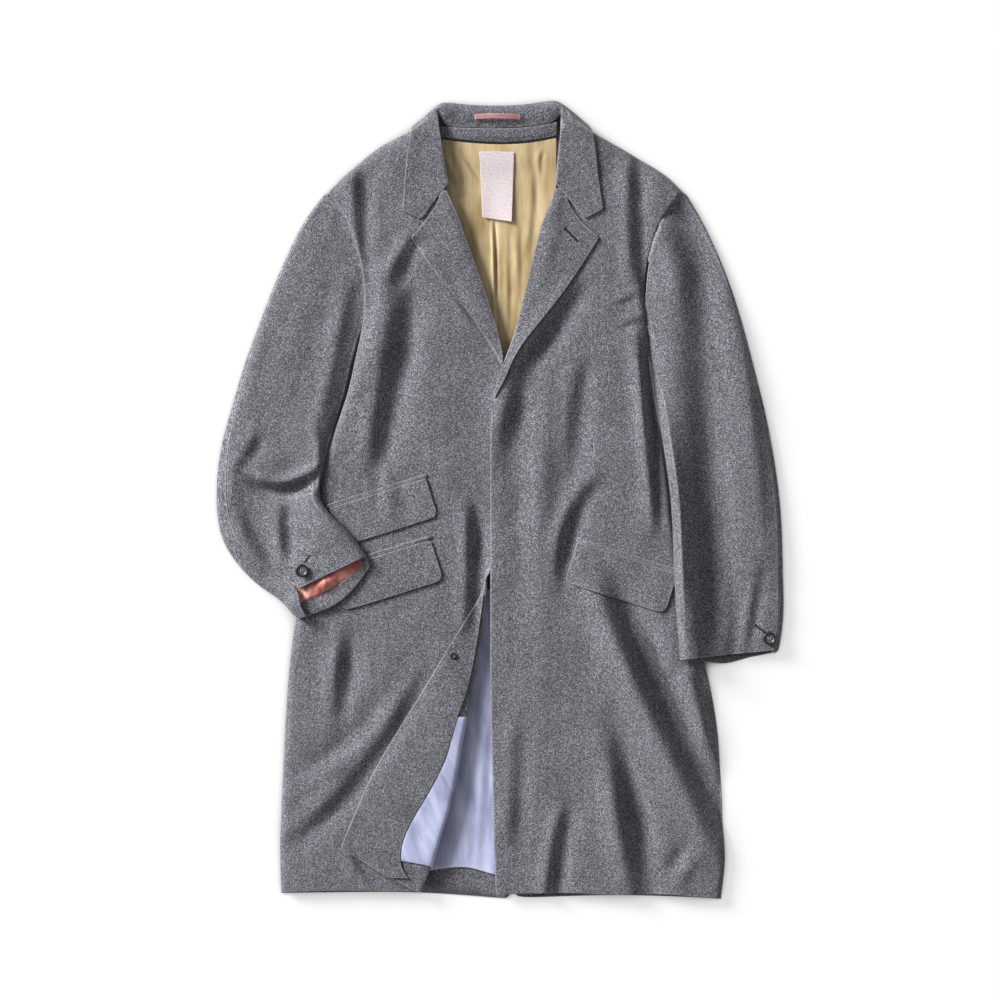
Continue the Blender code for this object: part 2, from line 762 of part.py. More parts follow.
def sleeve_xy(t, front, s, u, inward=0.0):
    """Place of a point across a sleeve section, s from the outer edge, u the section."""
    count = np.arange(len(t["xo"]), dtype=float)
    row = {name: through(count, column, u) for name, column in t.items()}
    chord_x, chord_y = row["xi"] - row["xo"], row["yi"] - row["yo"]
    width = math.hypot(chord_x, chord_y)
    x, y = row["xo"] + chord_x * s, row["yo"] + chord_y * s
    hole_x, hole_y = armhole(front, s, t)
    straight_x = t["xo"][0] + (t["xi"][0] - t["xo"][0]) * s
    out = math.copysign(2.1, t["xo"][0]) * np.sin(math.pi * np.clip(s, 0, 1)) ** 0.5 * row["bow"] ** 4
    x = x + (hole_x - straight_x) * row["bow"] + out * 0.5
    push = row["bulge"] * np.sin(math.pi * np.clip(s, 0, 1))
    turn = math.copysign(1.0, t["xo"][0])
    x = x + push * turn * chord_y / width * 0.9 * -turn * turn
    y = y + push * -abs(chord_x) / width
    return x, y, width, row


def sleeve_floor(below, x, y, over):
    """Height of the underside's mid-wall, raised where the sleeve lies over the body."""
    if not np.any(over > 0):
        return np.full(np.shape(x), WOOL / 2)
    found = rest(below, x, y, level=13.0, reach=26.0, slope=0.75)
    air = (LAY_GAP + 0.7) * smooth_step(0, 4, found)
    return WOOL / 2 + (found + air) * over


def spread(count, lip, crowd=0.7):
    """Shares from 0 to 1, closer together at both ends, with a short upright lip at each end."""
    f = np.linspace(0, 1, count + 1)
    f = f * (1 - crowd) + crowd * 0.5 * (1 - np.cos(math.pi * f))
    return np.array([0, lip, *f[1:-1], 1 - lip, 1])


def upper_height(floor, s, width, row, folds, x, y):
    roll = row["roll"]
    lift = bend(s * width, roll) * bend((1 - s) * width, roll)
    crown = row["rise"] + relief(folds, x, y) * lift
    seam = SIDE_SEAM - WOOL / 2
    return floor + seam + (np.maximum(crown, 6.2) - seam) * lift


def lower_height(floor, s, width):
    bent = bend(s * width, 4.5) * bend((1 - s) * width, 4.5)
    return floor + (SIDE_SEAM - 2.5 * SEAM_GAP - WOOL / 2) * (1 - bent)


def make_sleeve(name, t, front, folds, below, lip):
    """Two-piece sleeve: the top sleeve on the upper side, the under sleeve round the rest."""
    top, under = [], []
    rows = sleeve_rows(t, 45)
    for u in [v for v in rows if v <= lip]:
        seam = float(through(np.arange(len(t["xo"])), t["seam"], u))
        width = sleeve_xy(t, front, seam, u)[2]
        seam += SEAM_GAP / width
        s = seam + (1 - seam) * spread(8, 0.5 / width)
        x, y, width, row = sleeve_xy(t, front, s, u)
        if u == 0:
            x = x + math.copysign(HEAD_GAP, t["xo"][0])
        floor = sleeve_floor(below, x, y, row["over"])
        top.append(stack(x, y, upper_height(floor, s, width, row, folds, x, y)))
    for u in rows:
        seam = float(through(np.arange(len(t["xo"])), t["seam"], u))
        s_low = spread(7, 0.4 / width)[::-1]
        x, y, width, row = sleeve_xy(t, front, s_low, u)
        if u == 0:
            x = x + math.copysign(HEAD_GAP, t["xo"][0])
        floor = sleeve_floor(below, x, y, row["over"])
        low = stack(x, y, lower_height(floor, s_low, width))
        end = max(seam - SEAM_GAP / width, 0.002)
        s_high = end * np.array([0.03, 0.15, 0.45, 1.0])
        x, y, width, row = sleeve_xy(t, front, s_high, u)
        if u == 0:
            x = x + math.copysign(HEAD_GAP, t["xo"][0])
        floor = sleeve_floor(below, x, y, row["over"])
        high = stack(x, y, upper_height(floor, s_high, width, row, folds, x, y))
        under.append(np.concatenate([low, high]))
    return (
        sheet(name + "_top", np.array(top), WOOL, "wool"),
        sheet(name + "_under", np.array(under), WOOL, "wool"),
    )


def make_sleeve_inside(name, t, front, below, first, last, wall, kind):
    """Cloth that lies inside the under sleeve, between two sections."""
    grid = []
    lift = WOOL / 2 + LAY_GAP + wall / 2
    for u in [v for v in sleeve_rows(t, 45) if first - 0.01 <= v <= last + 0.01]:
        s = spread(7, 0.01)[::-1][2:-3]
        x, y, width, row = sleeve_xy(t, front, s, np.clip(u, first, last))
        floor = sleeve_floor(below, x, y, row["over"])
        grid.append(stack(x, y, lower_height(floor, s, width) + lift))
    return sheet(name, np.array(grid), wall, kind)


def make_flap(name, ends, depth, below):
    """Flap hanging from its top edge, with round lower corners."""
    (ax, ay), (bx, by) = ends
    length = math.hypot(bx - ax, by - ay)
    along = np.array([bx - ax, by - ay]) / length
    down = np.array([-along[1], along[0]])
    if down[1] > 0:
        down = -down
    corner = [0, 1.2, 4]
    middle = np.linspace(FLAP_CORNER, length - FLAP_CORNER, 9)
    us = np.array([*corner, *middle, *[length - v for v in corner[::-1]]])
    near = np.minimum(us, length - us)
    short = FLAP_CORNER * (1 - bend(near, FLAP_CORNER))
    grid_x, grid_y = [], []
    for f in np.linspace(0, 1, 5):
        v = f * (depth - short)
        grid_x.append(ax + along[0] * us + down[0] * v)
        grid_y.append(ay + along[1] * us + down[1] * v)
    x, y = np.array(grid_x), np.array(grid_y)
    z = rest(below, x, y, level=6.0, reach=10.0) + LAY_GAP + DOUBLE_WOOL / 2
    return sheet("flap_" + name, stack(x, y, z), DOUBLE_WOOL, "wool")


def make_jet(name, ends, below):
    """Narrow welt along the flap's top edge."""
    (ax, ay), (bx, by) = ends
    length = math.hypot(bx - ax, by - ay)
    along = np.array([bx - ax, by - ay]) / length
    up = np.array([-along[1], along[0]])
    if up[1] < 0:
        up = -up
    us = np.linspace(-2, length + 2, 12)
    rows_x, rows_y = [], []
    for v in (SEAM_GAP + 0.1, SEAM_GAP + JET_WIDTH / 2, SEAM_GAP + JET_WIDTH):
        rows_x.append(ax + along[0] * us + up[0] * v)
        rows_y.append(ay + along[1] * us + up[1] * v)
    x, y = np.array(rows_x), np.array(rows_y)
    z = rest(below, x, y, level=6.0, reach=10.0) + LAY_GAP + WOOL / 2
    return sheet("jet_" + name, stack(x, y, z), WOOL, "wool")


def make_label(below):
    corners = {"top": (-27, 439, 17, 438.5), "foot": (-23, 356, 14, 350.5)}
    rows_x, rows_y, curl = [], [], []
    for f in np.linspace(0, 1, 8):
        (x0, y0, x1, y1), (x2, y2, x3, y3) = corners["top"], corners["foot"]
        g = np.linspace(0, 1, 6)
        left_x, left_y = x0 + (x2 - x0) * f, y0 + (y2 - y0) * f
        right_x, right_y = x1 + (x3 - x1) * f, y1 + (y3 - y1) * f
        rows_x.append(left_x + (right_x - left_x) * g)
        rows_y.append(left_y + (right_y - left_y) * g)
        curl.append(3.0 * f ** 3 * g ** 2 + 1.5 * f ** 3 * (1 - g) ** 3)
    x, y = np.array(rows_x), np.array(rows_y)
    z = rest(below, x, y, level=5.0, reach=7.0) + LAY_GAP + LINING / 2 + np.array(curl)
    return sheet("label", stack(x, y, z), LINING, "white")


def make_loop(below):
    """Hanging loop: a narrow band, sewn down at its ends and arched between them."""
    xs = np.linspace(-33, 24, 13)
    arch = np.sin(np.linspace(0, math.pi, 13)) ** 0.6
    grid = []
    for v in (-3.0, 0.0, 3.0):
        y = 481.5 + v + 1.2 * arch
        z = rest(below, xs, y, level=0.5, reach=1.5, slope=1.0) + SEAM_GAP + LOOP / 2 + 1.6 * arch
        grid.append(stack(xs, y, z))
    return sheet("hanging_loop", np.array(grid), LOOP, "pink")


def make_button(name, place, below, diameter, height, holes, tilt):
    """Turned button: flat back, round rim and a dished face with sewing holes."""
    r = diameter / 2
    profile = [(0, height * 0.62), (r * 0.55, height * 0.62), (r * 0.68, height * 0.8), (r * 0.78, height),
               (r * 0.9, height * 0.96), (r, height * 0.72), (r, height * 0.35), (r * 0.8, 0), (0, 0)]
    mesh = bpy.data.meshes.new(name)
    edges = [(k, k + 1) for k in range(len(profile) - 1)]
    mesh.from_pydata([(px * MM, 0, pz * MM) for px, pz in profile], edges, [])
    mesh.materials.append(own_paint(name, "horn"))
    obj = bpy.data.objects.new(name, mesh)
    COAT.objects.link(obj)
    x, y = place
    top = float(rest(below, x, y, level=r, reach=r + 0.5))
    obj.location = (x * MM, y * MM, (top + LAY_GAP) * MM)
    obj.rotation_euler = (0, 0, tilt)
    screw = obj.modifiers.new("Turned", "SCREW")
    screw.steps = screw.render_steps = 20
    screw.use_merge_vertices = True
    screw.merge_threshold = 0.00005
    if holes:
        for k in range(4):
            angle = math.tau * (k + 0.5) / 4
            bpy.ops.mesh.primitive_cylinder_add(
                vertices=8, radius=0.95 * MM, depth=12 * MM,
                location=(2.1 * MM * math.cos(angle), 2.1 * MM * math.sin(angle), 0),
            )
            cutter = bpy.context.object
            cutter.name = f"{name}_hole_{k}"
            cutter.parent = obj
            cutter.hide_render = True
            cutter.display_type = "WIRE"
            for holder in list(cutter.users_collection):
                holder.objects.unlink(cutter)
            CUTTERS.objects.link(cutter)
            cut = obj.modifiers.new(f"Hole {k}", "BOOLEAN")
            cut.object = cutter
            cut.operation = "DIFFERENCE"
            cut.solver = "EXACT"
    return obj


back_right = make_back("back_right", -1, FRONT_RIGHT)
back_left = make_back("back_left", 1, FRONT_LEFT)
upper_rows = [150, 195, 240, 285, 330, 370, *NECK_ROWS]
lining_upper = make_back_lining("lining_back_upper", "beige", upper_rows, -74, 70, top_edge=True)
lower_rows = np.linspace(-466, -112, 8)
make_back_lining("lining_back_lower", "lavender", lower_rows, -112, 14, hem=lower_lining_hem)
front_right = make_front_right()
facing = make_facing()
lining_front = make_front_lining()
front_left = make_front_left()
body = trees(front_right, front_left)
lapel_right = make_lapel("lapel_right", LAPEL_RIGHT, body)
lapel_left = make_lapel("lapel_left", LAPEL_LEFT, body + trees(lapel_right))
stand = make_stand()
collar = make_collar(body)
for flap, (a, b, depth) in FLAPS.items():
    make_flap(flap, (a, b), depth, body)
    make_jet(flap, (a, b), body)
pockets = trees(*[bpy.data.objects[n + f] for f in FLAPS for n in ("flap_", "jet_")])
make_label(trees(lining_upper))
make_loop(trees(collar))
over_body = body + pockets
make_sleeve("sleeve_right", SLEEVE_RIGHT, FRONT_RIGHT, SLEEVE_RIGHT_FOLDS, over_body, 15.0)
make_sleeve("sleeve_left", SLEEVE_LEFT, FRONT_LEFT, SLEEVE_LEFT_FOLDS, over_body, 13.0)
make_sleeve_inside("lining_sleeve_right", SLEEVE_RIGHT, FRONT_RIGHT, over_body, 13.0, 15.51, LINING, "coral")
make_sleeve_inside("cuff_hem_right", SLEEVE_RIGHT, FRONT_RIGHT, over_body, 15.525, 15.99, WOOL, "wool")
sleeve_tops = trees(bpy.data.objects["sleeve_right_top"], bpy.data.objects["sleeve_left_top"])
make_button("button_cuff_right", (-249, -88), sleeve_tops, BUTTON_DIAMETER, BUTTON_HEIGHT, True, 0.3)
make_button("button_cuff_left", (337.5, -173.5), sleeve_tops, BUTTON_DIAMETER, BUTTON_HEIGHT, True, 0.1)
make_button("button_facing", (-60, -195), trees(facing), 8.0, 1.8, False, 0)
bpy.context.view_layer.update()
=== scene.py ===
# A chesterfield coat laid flat on its back and seen from straight above.
# Right and left are the wearer's. +Y runs to the collar, and tables of creases are in millimetres.
import math

import bmesh
import bpy
import numpy as np
from mathutils import Matrix, Vector
from mathutils.bvhtree import BVHTree
from mathutils.kdtree import KDTree


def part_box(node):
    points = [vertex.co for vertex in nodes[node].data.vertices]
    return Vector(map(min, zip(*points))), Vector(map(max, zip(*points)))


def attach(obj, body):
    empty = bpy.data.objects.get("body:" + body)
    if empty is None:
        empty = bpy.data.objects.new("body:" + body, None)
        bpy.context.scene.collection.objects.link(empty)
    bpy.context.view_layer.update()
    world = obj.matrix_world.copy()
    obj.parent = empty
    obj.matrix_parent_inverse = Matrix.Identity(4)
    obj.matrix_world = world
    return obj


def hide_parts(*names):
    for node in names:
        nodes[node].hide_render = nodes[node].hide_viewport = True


studio = {  # the sun's height and direction are in degrees, the direction from +X
    "key": 6.5, "keyHeight": 24, "keyFrom": 144, "softness": 22,
    "side": 8.0, "sideSize": 0.9, "sideFrom": (-1.3, 0.35, 0.9),
    "sky": 0.32, "floorGlow": 0.68, "floorReach": 8, "floorLevel": -0.0004, "shadeReach": 0.06,
    "lens": 150, "sensor": 36, "spread": 1.26, "centre": (-0.0009, 0.0004),
}
lightFrom = (math.cos(math.radians(studio["keyFrom"])), math.sin(math.radians(studio["keyFrom"])))

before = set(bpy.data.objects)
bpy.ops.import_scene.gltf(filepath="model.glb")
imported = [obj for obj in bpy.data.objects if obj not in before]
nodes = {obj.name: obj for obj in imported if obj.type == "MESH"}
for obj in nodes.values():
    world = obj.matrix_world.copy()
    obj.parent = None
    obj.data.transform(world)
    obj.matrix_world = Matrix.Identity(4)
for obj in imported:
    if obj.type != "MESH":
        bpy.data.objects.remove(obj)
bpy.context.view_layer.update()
mm = 0.001
print("frame loaded:", len(nodes), "nodes")


# Node and colour helpers

def linearColour(hexCode):
    channels = [int(hexCode[k:k + 2], 16) / 255 for k in (1, 3, 5)]
    return (*[c / 12.92 if c <= 0.04045 else ((c + 0.055) / 1.055) ** 2.4 for c in channels], 1.0)


def addNode(tree, kind, settings=None, inputs=None):
    made = tree.nodes.new(kind)
    for name, value in (settings or {}).items():
        setattr(made, name, value)
    for name, value in (inputs or {}).items():
        socket = made.inputs[name]
        if isinstance(value, bpy.types.NodeSocket):
            tree.links.new(value, socket)
        else:
            socket.default_value = value
    return made


def newMaterial(name, constants):
    made = bpy.data.materials.new(name)
    made.use_nodes = True
    shader = made.node_tree.nodes["Principled BSDF"]
    for socket, value in constants.items():
        shader.inputs[socket].default_value = value
    return made, made.node_tree, shader


def millimetres(tree, alongGrain=1.0, turn=0.0):
    # the piece's own grain map, in millimetres
    grain = addNode(tree, "ShaderNodeUVMap", {"uv_map": "grain"})
    mapping = addNode(tree, "ShaderNodeMapping", None, {
        "Vector": grain.outputs["UV"], "Scale": (1000, 1000 * alongGrain, 1000), "Rotation": (0, 0, turn)})
    return mapping.outputs["Vector"]


def ramp(tree, factor, stops, interpolation="LINEAR"):
    made = addNode(tree, "ShaderNodeValToRGB", None, {"Fac": factor})
    made.color_ramp.interpolation = interpolation
    elements = made.color_ramp.elements
    while len(elements) < len(stops):
        elements.new(0.5)
    for element, (place, colour) in zip(elements, stops):
        element.position = place
        element.color = linearColour(colour)
    return made.outputs["Color"]


def blendColours(tree, kind, factor, a, b):
    made = addNode(tree, "ShaderNodeMix", {"data_type": "RGBA", "blend_type": kind})
    for index, value in ((0, factor), (6, a), (7, b)):
        if isinstance(value, bpy.types.NodeSocket):
            tree.links.new(value, made.inputs[index])
        else:
            made.inputs[index].default_value = value
    return made.outputs[2]


def scaled(tree, value, low, high):
    made = addNode(tree, "ShaderNodeMapRange", None, {"Value": value, "To Min": low, "To Max": high})
    return made.outputs["Result"]


def waveScale(pitch):
    # At scale 1 a wave repeats every pi / 10 units.
    return math.pi / 10 / pitch


# Wool: a salt-and-pepper twill of dark and light yarns, brushed to a short nap.

wool = {
    "dark": "#343338", "dusk": "#5D5E65", "mid": "#6E6D72", "light": "#A2A1A7",
    "paintedEdgeLight": 0.3,     # how far the pressed edges are painted toward the light yarn's colour, a painted highlight along the rims
    "floatLength": 1.0,  # mm, a yarn's visible stretch, drawn coarser than the real 0.6 mm so that it shows
    "twillPitch": 2.2,   # mm between the diagonal lines
    "streakWidth": 7.0,  # mm, uneven warp yarns down the cloth
    "cloudWidth": 45,    # mm, slow changes of tone over the cloth
}


def makeWool():
    made, tree, shader = newMaterial("woolTwillSaltAndPepper", {
        "Roughness": 0.92, "Specular IOR Level": 0.22, "Sheen Weight": 0.12, "Sheen Roughness": 0.5})
    place = millimetres(tree, 0.85)
    yarn = addNode(tree, "ShaderNodeTexVoronoi", {"voronoi_dimensions": "2D"}, {
        "Vector": place, "Scale": 1 / wool["floatLength"], "Randomness": 1.0})
    pick = addNode(tree, "ShaderNodeSeparateColor", None, {"Color": yarn.outputs["Color"]})
    fluff = addNode(tree, "ShaderNodeTexNoise", {"noise_dimensions": "2D"}, {
        "Vector": place, "Scale": 0.7 / wool["floatLength"], "Detail": 2.0, "Roughness": 0.6})
    mixed = addNode(tree, "ShaderNodeMath", {"operation": "MULTIPLY_ADD"}, {
        0: pick.outputs["Red"], 1: 0.55, 2: scaled(tree, fluff.outputs["Fac"], -0.35, 0.8)})
    speckle = ramp(tree, mixed.outputs[0], [
        (0.12, wool["dark"]), (0.36, wool["dusk"]), (0.58, wool["mid"]), (0.84, wool["light"])])
    diagonal = addNode(tree, "ShaderNodeTexWave", {"wave_type": "BANDS", "bands_direction": "X"}, {
        "Vector": millimetres(tree, 1.0, math.radians(58)), "Scale": waveScale(wool["twillPitch"]),
        "Distortion": 1.2, "Detail": 2.0, "Detail Scale": 1.5})
    lines = blendColours(tree, "MULTIPLY", 0.22, speckle, ramp(tree, diagonal.outputs["Fac"], [
        (0.1, "#6A6A6E"), (0.7, "#FFFFFF")]))
    streaks = addNode(tree, "ShaderNodeTexNoise", {"noise_dimensions": "2D"}, {
        "Vector": millimetres(tree, 0.05), "Scale": 1 / wool["streakWidth"], "Detail": 2.0, "Roughness": 0.6})
    uneven = blendColours(tree, "OVERLAY", 0.16, lines, ramp(tree, streaks.outputs["Fac"], [
        (0.3, "#565657"), (0.7, "#C4C4C8")]))
    clouds = addNode(tree, "ShaderNodeTexNoise", {"noise_dimensions": "2D"}, {
        "Vector": millimetres(tree), "Scale": 1 / wool["cloudWidth"], "Detail": 3.0})
    worn = blendColours(tree, "OVERLAY", 0.2, uneven, ramp(tree, clouds.outputs["Fac"], [
        (0.3, "#6C6A6C"), (0.7, "#A6A8B0")]))
    # Painted highlight: near each rim the colour is mixed toward the light yarn's colour, as a lit pressed
    # edge looks.
    pressed = addNode(tree, "ShaderNodeAttribute", {"attribute_name": "pressedEdge"})
    edge = addNode(tree, "ShaderNodeMapRange", {"interpolation_type": "SMOOTHSTEP"}, {
        "Value": pressed.outputs["Fac"], "From Min": 0.2, "From Max": 1.0, "To Max": wool["paintedEdgeLight"]})
    edgeLitColour = blendColours(tree, "MIX", edge.outputs["Result"], worn, linearColour(wool["light"]))
    tree.links.new(edgeLitColour, shader.inputs["Base Color"])
    height = addNode(tree, "ShaderNodeMath", {"operation": "MULTIPLY_ADD"}, {
        0: diagonal.outputs["Fac"], 1: 0.35, 2: mixed.outputs[0]})
    bump = addNode(tree, "ShaderNodeBump", None, {
        "Height": height.outputs[0], "Strength": 0.3, "Distance": 0.0004})
    tree.links.new(bump.outputs["Normal"], shader.inputs["Normal"])
    return made


def makeSatin(name, base, shade, bright, gloss, edgeShine=0.0):
    # Cupro satin lining: smooth floats down the cloth give a soft sheen and fine lines.
    made, tree, shader = newMaterial(name, {
        "Roughness": gloss, "Specular IOR Level": 0.45, "Sheen Weight": 0.25, "Sheen Roughness": 0.35})
    threads = addNode(tree, "ShaderNodeTexNoise", {"noise_dimensions": "2D"}, {
        "Vector": millimetres(tree, 0.04), "Scale": 0.9, "Detail": 2.0})
    # Slow noise spreads the shade, base and bright colours over the cloth: painted shade and painted sheen in
    # soft patches.
    sheenAndShadePatches = addNode(tree, "ShaderNodeTexNoise", {"noise_dimensions": "2D"}, {
        "Vector": millimetres(tree, 0.25), "Scale": 0.05, "Detail": 3.0, "Roughness": 0.55})
    tone = ramp(tree, sheenAndShadePatches.outputs["Fac"], [(0.28, shade), (0.5, base), (0.74, bright)])
    fine = blendColours(tree, "OVERLAY", 0.18, tone, ramp(tree, threads.outputs["Fac"], [
        (0.35, "#5E5E5E"), (0.65, "#A8A8A8")]))
    # Painted highlight: near each rim the colour is mixed toward the bright colour, by edgeShine.
    pressed = addNode(tree, "ShaderNodeAttribute", {"attribute_name": "pressedEdge"})
    shine = scaled(tree, pressed.outputs["Fac"], 0.0, edgeShine)
    turned = blendColours(tree, "MIX", shine, fine, linearColour(bright))
    tree.links.new(turned, shader.inputs["Base Color"])
    bump = addNode(tree, "ShaderNodeBump", None, {
        "Height": threads.outputs["Fac"], "Strength": 0.18, "Distance": 0.0002})
    tree.links.new(bump.outputs["Normal"], shader.inputs["Normal"])
    return made


ribPitch = 1.6  # mm between the ribs drawn across the tape


def makeTape():
    # Woven polyester label tape, left bare: fine ribs across it.
    made, tree, shader = newMaterial("wovenLabelTape", {
        "Roughness": 0.7, "Specular IOR Level": 0.3, "Sheen Weight": 0.1})
    ribs = addNode(tree, "ShaderNodeTexWave", {"wave_type": "BANDS", "bands_direction": "Y"}, {
        "Vector": millimetres(tree), "Scale": waveScale(ribPitch), "Distortion": 0.6, "Detail": 1.0})
    slub = addNode(tree, "ShaderNodeTexNoise", {"noise_dimensions": "2D"}, {
        "Vector": millimetres(tree, 3.0), "Scale": 0.25, "Detail": 3.0})
    tone = ramp(tree, slub.outputs["Fac"], [(0.3, "#C6B9BC"), (0.7, "#DDD2D2")])
    colour = blendColours(tree, "MULTIPLY", 0.25, tone, ramp(tree, ribs.outputs["Fac"], [
        (0.2, "#BDB4B6"), (0.8, "#FFFFFF")]))
    tree.links.new(colour, shader.inputs["Base Color"])
    bump = addNode(tree, "ShaderNodeBump", None, {
        "Height": ribs.outputs["Fac"], "Strength": 0.4, "Distance": 0.0002})
    tree.links.new(bump.outputs["Normal"], shader.inputs["Normal"])
    return made


def makeHorn():
    # Polyester resin made to look like horn: near black, turned and polished, with faint lighter veins.
    made, tree, shader = newMaterial("hornResinPolished", {
        "Roughness": 0.4, "Specular IOR Level": 0.5, "Coat Weight": 0.1, "Coat Roughness": 0.25})
    where = addNode(tree, "ShaderNodeTexCoord")
    veins = addNode(tree, "ShaderNodeTexNoise", None, {
        "Vector": where.outputs["Object"], "Scale": 260, "Detail": 4.0, "Distortion": 1.2})
    # The dished face is mixed toward a lighter grey: a painted reflection in the dish.
    dished = addNode(tree, "ShaderNodeAttribute", {"attribute_name": "dishedFace"})
    colour = blendColours(tree, "MIX", scaled(tree, dished.outputs["Fac"], 0.0, 0.45),
                          ramp(tree, veins.outputs["Fac"], [(0.4, "#101114"), (0.72, "#2A2B31")]),
                          ramp(tree, veins.outputs["Fac"], [(0.35, "#4C4D54"), (0.7, "#77787F")]))
    tree.links.new(colour, shader.inputs["Base Color"])
    return made


def makeThread(name, base, bright):
    # Twisted polyester sewing thread: a fine slanting twist across each stitch.
    made, tree, shader = newMaterial(name, {
        "Roughness": 0.6, "Specular IOR Level": 0.35, "Sheen Weight": 0.15})
    where = addNode(tree, "ShaderNodeTexCoord")
    twist = addNode(tree, "ShaderNodeTexWave", {"wave_type": "BANDS", "bands_direction": "DIAGONAL"}, {
        "Vector": where.outputs["Object"], "Scale": 600, "Distortion": 2.0})
    colour = ramp(tree, twist.outputs["Fac"], [(0.2, base), (0.8, bright)])
    tree.links.new(colour, shader.inputs["Base Color"])
    return made


materials = {
    "wool": makeWool(),
    "beige": makeSatin("cuproTwillBeige", "#BBA57C", "#9F8859", "#CDBB92", 0.45),
    "lavender": makeSatin("cuproSatinLavender", "#AEB3D0", "#9095B5", "#C6CAE0", 0.4, 0.8),
    "coral": makeSatin("cuproSatinCoral", "#D99084", "#A9564C", "#F2BFB4", 0.38),
    "loop": makeSatin("satinBandPink", "#CF9A9C", "#B57477", "#E8C2C2", 0.45),
    "tape": makeTape(),
    "horn": makeHorn(),
    "darkThread": makeThread("threadCharcoal", "#0B0B0E", "#1C1D22"),
    "paleThread": makeThread("threadPale", "#A5A1A1", "#D2CECC"),
    "greyThread": makeThread("threadGrey", "#97979B", "#CBCACE"),
    "pinkThread": makeThread("threadPink", "#A8676A", "#D09A9C"),
}
print("materials made:", len(materials))


# Cloth forms

def smoothStep(low, high, value):
    f = np.clip((value - low) / (high - low), 0, 1)
    return f * f * (3 - 2 * f)


def table(names, text):
    rows = np.array([[float(v) for v in line.split()] for line in text.strip().splitlines()])
    return {name: rows[:, k] for k, name in enumerate(names.split())}


def bandHeight(bands, x, y):
    # Each band bends through three points. Across it the cloth falls away from the light, from a soft ridge
    # to a trough, by about its drop in mm. A negative drop turns the cloth to the light instead.
    total = np.zeros(len(x))
    for k in range(len(bands["x0"])):
        row = {name: column[k] for name, column in bands.items()}
        u = np.linspace(0, 1, 9)
        px = row["x0"] * (1 - u) ** 2 + 2 * row["x1"] * u * (1 - u) + row["x2"] * u * u
        py = row["y0"] * (1 - u) ** 2 + 2 * row["y1"] * u * (1 - u) + row["y2"] * u * u
        reach = 3 * row["width"]
        inside = np.flatnonzero((x > px.min() - reach) & (x < px.max() + reach)
                                & (y > py.min() - reach) & (y < py.max() + reach))
        if not len(inside):
            continue
        qx, qy = x[inside], y[inside]
        away = 1 if (py[0] - py[-1]) * lightFrom[0] + (px[-1] - px[0]) * lightFrom[1] < 0 else -1
        nearest, side, along = np.full(len(inside), 1e9), np.zeros(len(inside)), np.zeros(len(inside))
        for j in range(8):
            dx, dy = px[j + 1] - px[j], py[j + 1] - py[j]
            f = np.clip(((qx - px[j]) * dx + (qy - py[j]) * dy) / (dx * dx + dy * dy), 0, 1)
            ox, oy = qx - px[j] - f * dx, qy - py[j] - f * dy
            distance = np.hypot(ox, oy)
            closer = distance < nearest
            nearest = np.where(closer, distance, nearest)
            side = np.where(closer, away * (oy * dx - ox * dy) / math.hypot(dx, dy), side)
            along = np.where(closer, (j + f) / 8, along)
        fade = np.sin(math.pi * (0.04 + 0.92 * along)) ** 0.7 * (1 + 0.2 * np.sin(8 * along + 2 * k))
        across = side / row["width"]
        total[inside] -= row["drop"] * fade * across * np.exp(-(nearest / row["width"]) ** 2)
    return total


def unevenness(x, y, cell, seed):
    # Smooth random height on a lattice, from -1 to 1.
    values = np.random.default_rng(seed).uniform(-1, 1, (256, 256))
    gx, gy = x / cell + 128, y / cell + 128
    ix, iy = np.floor(gx).astype(int), np.floor(gy).astype(int)
    fx, fy = smoothStep(0, 1, gx - ix), smoothStep(0, 1, gy - iy)
    ix, iy = ix % 255, iy % 255
    low = values[ix, iy] * (1 - fx) + values[ix + 1, iy] * fx
    high = values[ix, iy + 1] * (1 - fx) + values[ix + 1, iy + 1] * fx
    return low * (1 - fy) + high * fy


bandColumns = "x0 y0 x1 y1 x2 y2 width drop"
bodyBands = table(bandColumns, """
    -181  425  -178  345  -171  235  12  10.0
    -104  330  -123  312  -139  268  13  12.0
    -116  282  -134  198  -160   55  21  20.0
    -152  265  -177  181  -194  114  14  -6.0
    -146  130  -152   90  -158   40  15   8.0
     -72  273   -47  240   -26  216   8   5.0
     -38   -2   -33  -70   -40 -158  12  14.0
    -139   42  -132    9  -129  -32  14   5.5
    -172   50  -163   20  -161  -10  14   5.0
    -196 -165  -201 -222  -207 -275  15  13.0
    -102 -221  -165 -352  -265 -428  15  10.0
    -127 -239  -186 -323  -261 -357  15  -6.5
    -198 -432  -177 -462  -159 -487  10   5.0
     167  430   166  357  172  270  13  12.0
     174  290   179  265   182  230   8   6.0
     140  246   159  255   177  258   5   3.6
     150  218   167  226   186  230   6   4.5
      97  268    62  224    14  150  15  16.0
      28  168    10  110    -2   40  18  12.0
     102  173    93  131    88   47  15   8.0
     122   26    74  -14    73 -106  13  13.0
      45  122    33   -4    37 -155  20  -6.5
     132 -112   198 -262   276 -425  23  42.0
     238 -200   255 -256   272 -330  14  15.0
     138 -290   158 -393   178 -520  20  24.0
      60 -515    66 -449    81 -388  13  13.0
      24 -270    16 -365    16 -449  14   6.0
     247 -432   226 -457   209 -487  13  -7.0
     176  212   186   90   197  -30  11  20.0
      58  420    62  330    40  250  14  -4.0
""")
sleeveRightBands = table(bandColumns, """
    -186  275  -202  181  -224   90  14   8.0
    -312   28  -277    1  -221   42   9  21.0
    -232   97  -219   63  -224   34   8   6.0
    -330  -10  -312  -54  -288  -85  14  10.0
    -272   -8  -276  -40  -268  -80  11  11.0
    -300  300  -318  210  -330  120  18  -5.0
    -304   85  -314   60  -332   40  10   6.0
""")
sleeveLeftBands = table(bandColumns, """
     206  368  226  330  240  250  26  15.0
     238  330  248  130  250 -300  28  20.0
     305  240  328   97  338  -71  14   6.0
     247 -110  255 -163  253 -215  10   5.0
     285 -100  291 -155  286 -205   9   3.6
     325  -78  318 -138  306 -200   9   4.5
""")
